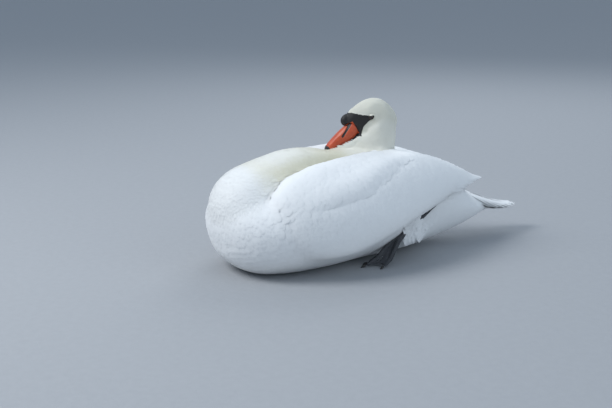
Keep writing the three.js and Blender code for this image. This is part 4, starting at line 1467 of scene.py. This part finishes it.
def bill_piece(node):
    """Half the bill as a mesh, with its points' places along the head's axes and its dark marks."""
    bm = remeshed(merged_copy(node), BILL_VOXEL)
    smooth(bm, 6)
    spots, ways = points_of(bm), normals_of(bm)
    ahead, left, up = head_axes(spots)
    flank = smoothstep(4, 8, np.abs(left))
    slit = smoothstep(3.6, 1.4, gap_to_line(ahead, up, *NOSTRIL)) * flank
    along_edge = ahead - 0.35 * (7 - np.abs(left))
    nail = smoothstep(NAIL_FROM - 1.2, NAIL_FROM + 1.2, along_edge)
    groove = np.exp(-(((along_edge - NAIL_FROM + 1.5) / 1.6) ** 2))
    ripple = np.array([noise.noise(Vector(p) * 130) for p in spots])
    push = -1.3 * slit + 0.45 * nail - 0.5 * groove + 0.16 * ripple
    spots = spots + ways * (push * MM)[:, None]
    if node == "bill_upper":
        low = smoothstep(7, -1, up - np.interp(ahead, *EDGE_LINE)) * flank
        reach = 4.4 * smoothstep(44, 58, ahead) * smoothstep(124, 112, ahead)
        outwards = (low * np.sign(left) * 0.9 * MM)[:, None] * LEFTWARD
        spots += (low * reach * MM)[:, None] * -CROWNWARD + outwards
    # The base runs back into the face, and the end bends down over the near side of the neck.
    reach_back = 0.6 * np.minimum(ahead - 44, 0)
    bend = np.clip((ahead - 66) / 50, 0, None) ** 2
    spots += (reach_back * MM)[:, None] * AHEAD + (bend * BEND_DOWN * MM)[:, None] * -CROWNWARD
    spots += (bend * BEND_LEFT * MM)[:, None] * LEFTWARD + (bend * BEND_AHEAD * MM)[:, None] * AHEAD
    move_points(bm, spots)
    return bm, ahead + reach_back, left, up, slit


print("nostril slits", round(math.dist(*NOSTRIL), 1), "mm long")

# %% [markdown]
# The orange is never one tone: it is redder and darker towards the base and along small creases. The black
# parts share one leathery black with the lores.

# %% Bill finish
bill_look = Shader("bill_horn")
mottle, grain = bill_look.noise(95, 4), bill_look.noise(420, 2)
streaks = bill_look.noise(60, 3, place=bill_look.stretched((1.0, 0.35, 1.0), (0.6, 0, 0.4)))
orange = bill_look.mix(RED_ORANGE, ORANGE, 0.25 + 0.9 * mottle)
orange = bill_look.mix(orange, PALE_ORANGE, 0.35 * streaks.between(0.45, 0.75))
black = bill_look.mix(BARE_BLACK, (0.035, 0.030, 0.028), grain)
dark = bill_look.number("dark")
bill_colour = bill_look.mix(orange, black, dark.between(0.3, 0.7))
bill_rough = 0.34 + 0.14 * mottle + 0.08 * dark
bill_bump = bill_look.bump(0.6 * grain + 0.8 * streaks, 0.00022)
bill_material = bill_look.finish(Base_Color=bill_colour, Roughness=bill_rough, Normal=bill_bump,
                                 Specular_IOR_Level=0.45)

print("finish:", bill_material.name)

# %% Bill pieces
BASE_EDGE = [(30, 30), (44, 18), (38, 13), (38, -4), (39, -14), (41, -22), (40, -26), (20, -30), (20, 30)]
for node in ("bill_upper", "bill_lower"):
    bill_bm, ahead, left, up, slit = bill_piece(node)
    base = smoothstep(-1.0, 0.8, inside_outline(ahead, up, BASE_EDGE))
    under_knob = smoothstep(1.5, 0.0, np.hypot(ahead - 47, up - 18) - 9.5) * (node == "bill_upper")
    tip = smoothstep(0, 2.0, ahead - NAIL_FROM + 0.25 * np.abs(left))
    if node == "bill_upper":
        rim = smoothstep(0.9, -0.3, up - np.interp(ahead, *EDGE_LINE) + 0.25 * np.clip(ahead - 56, 0, 12))
        dark_parts = np.maximum.reduce([base, under_knob, tip, rim, slit])
    else:
        dark_parts = np.maximum(base, smoothstep(68, 60, ahead))
    piece = add_piece(node + "_horn", bill_bm, bill_material, "bill_orange", node)
    set_number(piece, "dark", dark_parts)
    if node == "bill_upper":
        bill_ahead, bill_left = ahead, left
    print(node, "is dark on", round(100 * dark_parts.mean()), "% of its points")

# %% [markdown]
# The bill is pushed down into the neck's feathers, and they stand up a little along both its edges. Each of
# these tufts starts on the neck below the edge, leans against the bill's side and ends just above the edge.

# %% Feathers against the bill
EDGE_TUFTS, TUFT_HALF, EDGE_DROP = 46, 1.7, 4.4
# The first three spots of a tuft in mm: how far along the bill, out from its side and over its edge.
LEANING = ((-11, 5, -13), (-5, 4.5, -7), (0, 3.2, -2.5))
LEAN_STANDS = np.array((1.5, 2.5, 2, 1))
for side_name, side in EYES.items():
    lines = []
    for n in range(EDGE_TUFTS):
        at = 42 + 74 * (n + chance.random()) / EDGE_TUFTS
        near = (np.abs(bill_ahead - at) < 4) & (bill_left * side > 0)
        half = np.abs(bill_left[near]).max()
        edge = np.interp(at, *EDGE_LINE) - EDGE_DROP
        tip = (5, 1.8, chance.normal(0.4 + 4.0 * smoothstep(54, 68, at), 1.5))
        spots = np.array([in_head(at + along, side * (half + out), edge + over)
                          for along, out, over in (*LEANING, tip)])
        lines.append(over_skin(spots, LEAN_STANDS)[0] / MM)
    free_feathers(f"tufts_by_bill_{side_name}", lock, lines, [LEFTWARD * side + CROWNWARD * 0.3] * EDGE_TUFTS,
                  [TUFT_HALF] * EDGE_TUFTS, tuft_white)

# %% [markdown]
# ## Eyes
# A swan's eye is a small, dark, wet ball: a black pupil in a deep brown iris. A ring of points per degree
# from the front carries the pupil's edge, and a clear coat gives the wet gleam.

# %% Eyes
PUPIL_EDGE, IRIS_EDGE = (0.24, 0.27), (0.45, 0.60)
eye_look = Shader("eye_wet")
off_axis = eye_look.number("from_front")
flecks = eye_look.noise(900, 2)
iris = eye_look.mix((0.045, 0.017, 0.007), (0.085, 0.036, 0.015), flecks)
iris = eye_look.mix(iris, (0.006, 0.005, 0.005), off_axis.between(*IRIS_EDGE))
eye_colour = eye_look.mix((0.003, 0.003, 0.003), iris, off_axis.between(*PUPIL_EDGE))
eye_material = eye_look.finish(Base_Color=eye_colour, Roughness=0.25 + 0.05 * flecks,
                               Normal=eye_look.bump(flecks, 0.00002), Coat_Weight=1.0, Coat_Roughness=0.03)
for side_name, side in EYES.items():
    ball = bmesh.new()
    bmesh.ops.create_uvsphere(ball, u_segments=40, v_segments=28, radius=EYE_RADIUS * MM)
    facing, middle = Vector(LEFTWARD * side + AHEAD * 0.12), in_head(0, side * EYE_OUT, 0)
    bmesh.ops.rotate(ball, verts=ball.verts, matrix=facing.to_track_quat("Z", "Y").to_matrix())
    bmesh.ops.translate(ball, verts=ball.verts, vec=Vector(middle))
    away = unit(points_of(ball) - middle) @ np.array(facing.normalized())
    eye_piece = add_piece(f"eyeball_{side_name}", ball, eye_material, "eye", f"eye_{side_name}")
    set_number(eye_piece, "from_front", np.arccos(np.clip(away, -1, 1)) / 1.4)
print("eyes", 2 * EYE_RADIUS, "mm across, their middles", 2 * EYE_OUT, "mm apart")

# %% [markdown]
# ## Legs, feet and claws
# The legs and webs are tough dark grey skin in small many-sided scales, larger and in rows along the tops of
# the toes. The leg and the foot of each side become one mesh, and the scales are cells that rise as a bump.
# The webs are a little paler and finely creased between the toes. Claws are dull black horn.

# %% Leg and claw finish
leg_look = Shader("leg_scales")
plates, fine_plates = leg_look.cells(190, "DISTANCE_TO_EDGE"), leg_look.cells(420, "DISTANCE_TO_EDGE")
weathering, creases = leg_look.noise(28, 3), leg_look.noise(150, 3)
leg_colour = leg_look.mix((0.026, 0.028, 0.033), (0.072, 0.076, 0.086), weathering)
leg_colour = leg_look.mix(leg_colour, (0.125, 0.122, 0.118), 0.55 * (1 - plates.between(0.0, 0.16)) * creases)
leg_rough = 0.50 + 0.22 * creases
leg_height = plates.between(0.0, 0.30) + 0.4 * fine_plates.between(0.0, 0.3) + 0.4 * creases
leg_material = leg_look.finish(Base_Color=leg_colour, Roughness=leg_rough,
                               Normal=leg_look.bump(leg_height, 0.00028), Specular_IOR_Level=0.4)

claw_look = Shader("claw_horn")
claw_grain = claw_look.noise(260, 3)
claw_colour = claw_look.mix((0.010, 0.009, 0.009), (0.050, 0.045, 0.040), claw_grain)
claw_material = claw_look.finish(Base_Color=claw_colour, Roughness=0.38 + 0.2 * claw_grain,
                                 Normal=claw_look.bump(claw_grain, 0.0002))

print("finishes:", leg_material.name, claw_material.name)

# %% [markdown]
# The creases of the webs are pressed into the mesh itself along the foot, so the noise is stretched that
# way. Nothing may go through the ground, so the lowest points are raised onto it.

# %% Legs, feet and claws
LEG_VOXEL, CLAW_VOXEL, CREASE_HEIGHT = 1.15 * MM, 0.5 * MM, 0.18


def raise_to(bm, height):
    """Keeps every point at least this high above the ground."""
    for vert in bm.verts:
        vert.co.z = max(vert.co.z, height)


for side_name in EYES:
    limb = remeshed(merged_copy(f"leg_{side_name}", f"foot_{side_name}"), LEG_VOXEL)
    smooth(limb, 3)
    spots, ways = points_of(limb), normals_of(limb)
    creased = np.array([noise.noise(Vector((p[0] * 1.6, p[1] * 0.5, p[2])) * 160) for p in spots])
    move_points(limb, spots + ways * (CREASE_HEIGHT * creased * MM)[:, None])
    raise_to(limb, 0.4 * MM)
    add_piece(f"leg_and_foot_{side_name}", limb, leg_material, "leg_skin", f"leg_{side_name}",
              f"foot_{side_name}")
    for toe in ("inner", "middle", "outer", "hind"):
        claw = remeshed(merged_copy(f"claw_{toe}_{side_name}"), CLAW_VOXEL)
        smooth(claw, 3)
        raise_to(claw, 0.3 * MM)
        add_piece(f"claw_tip_{toe}_{side_name}", claw, claw_material, "claw_horn", f"claw_{toe}_{side_name}")
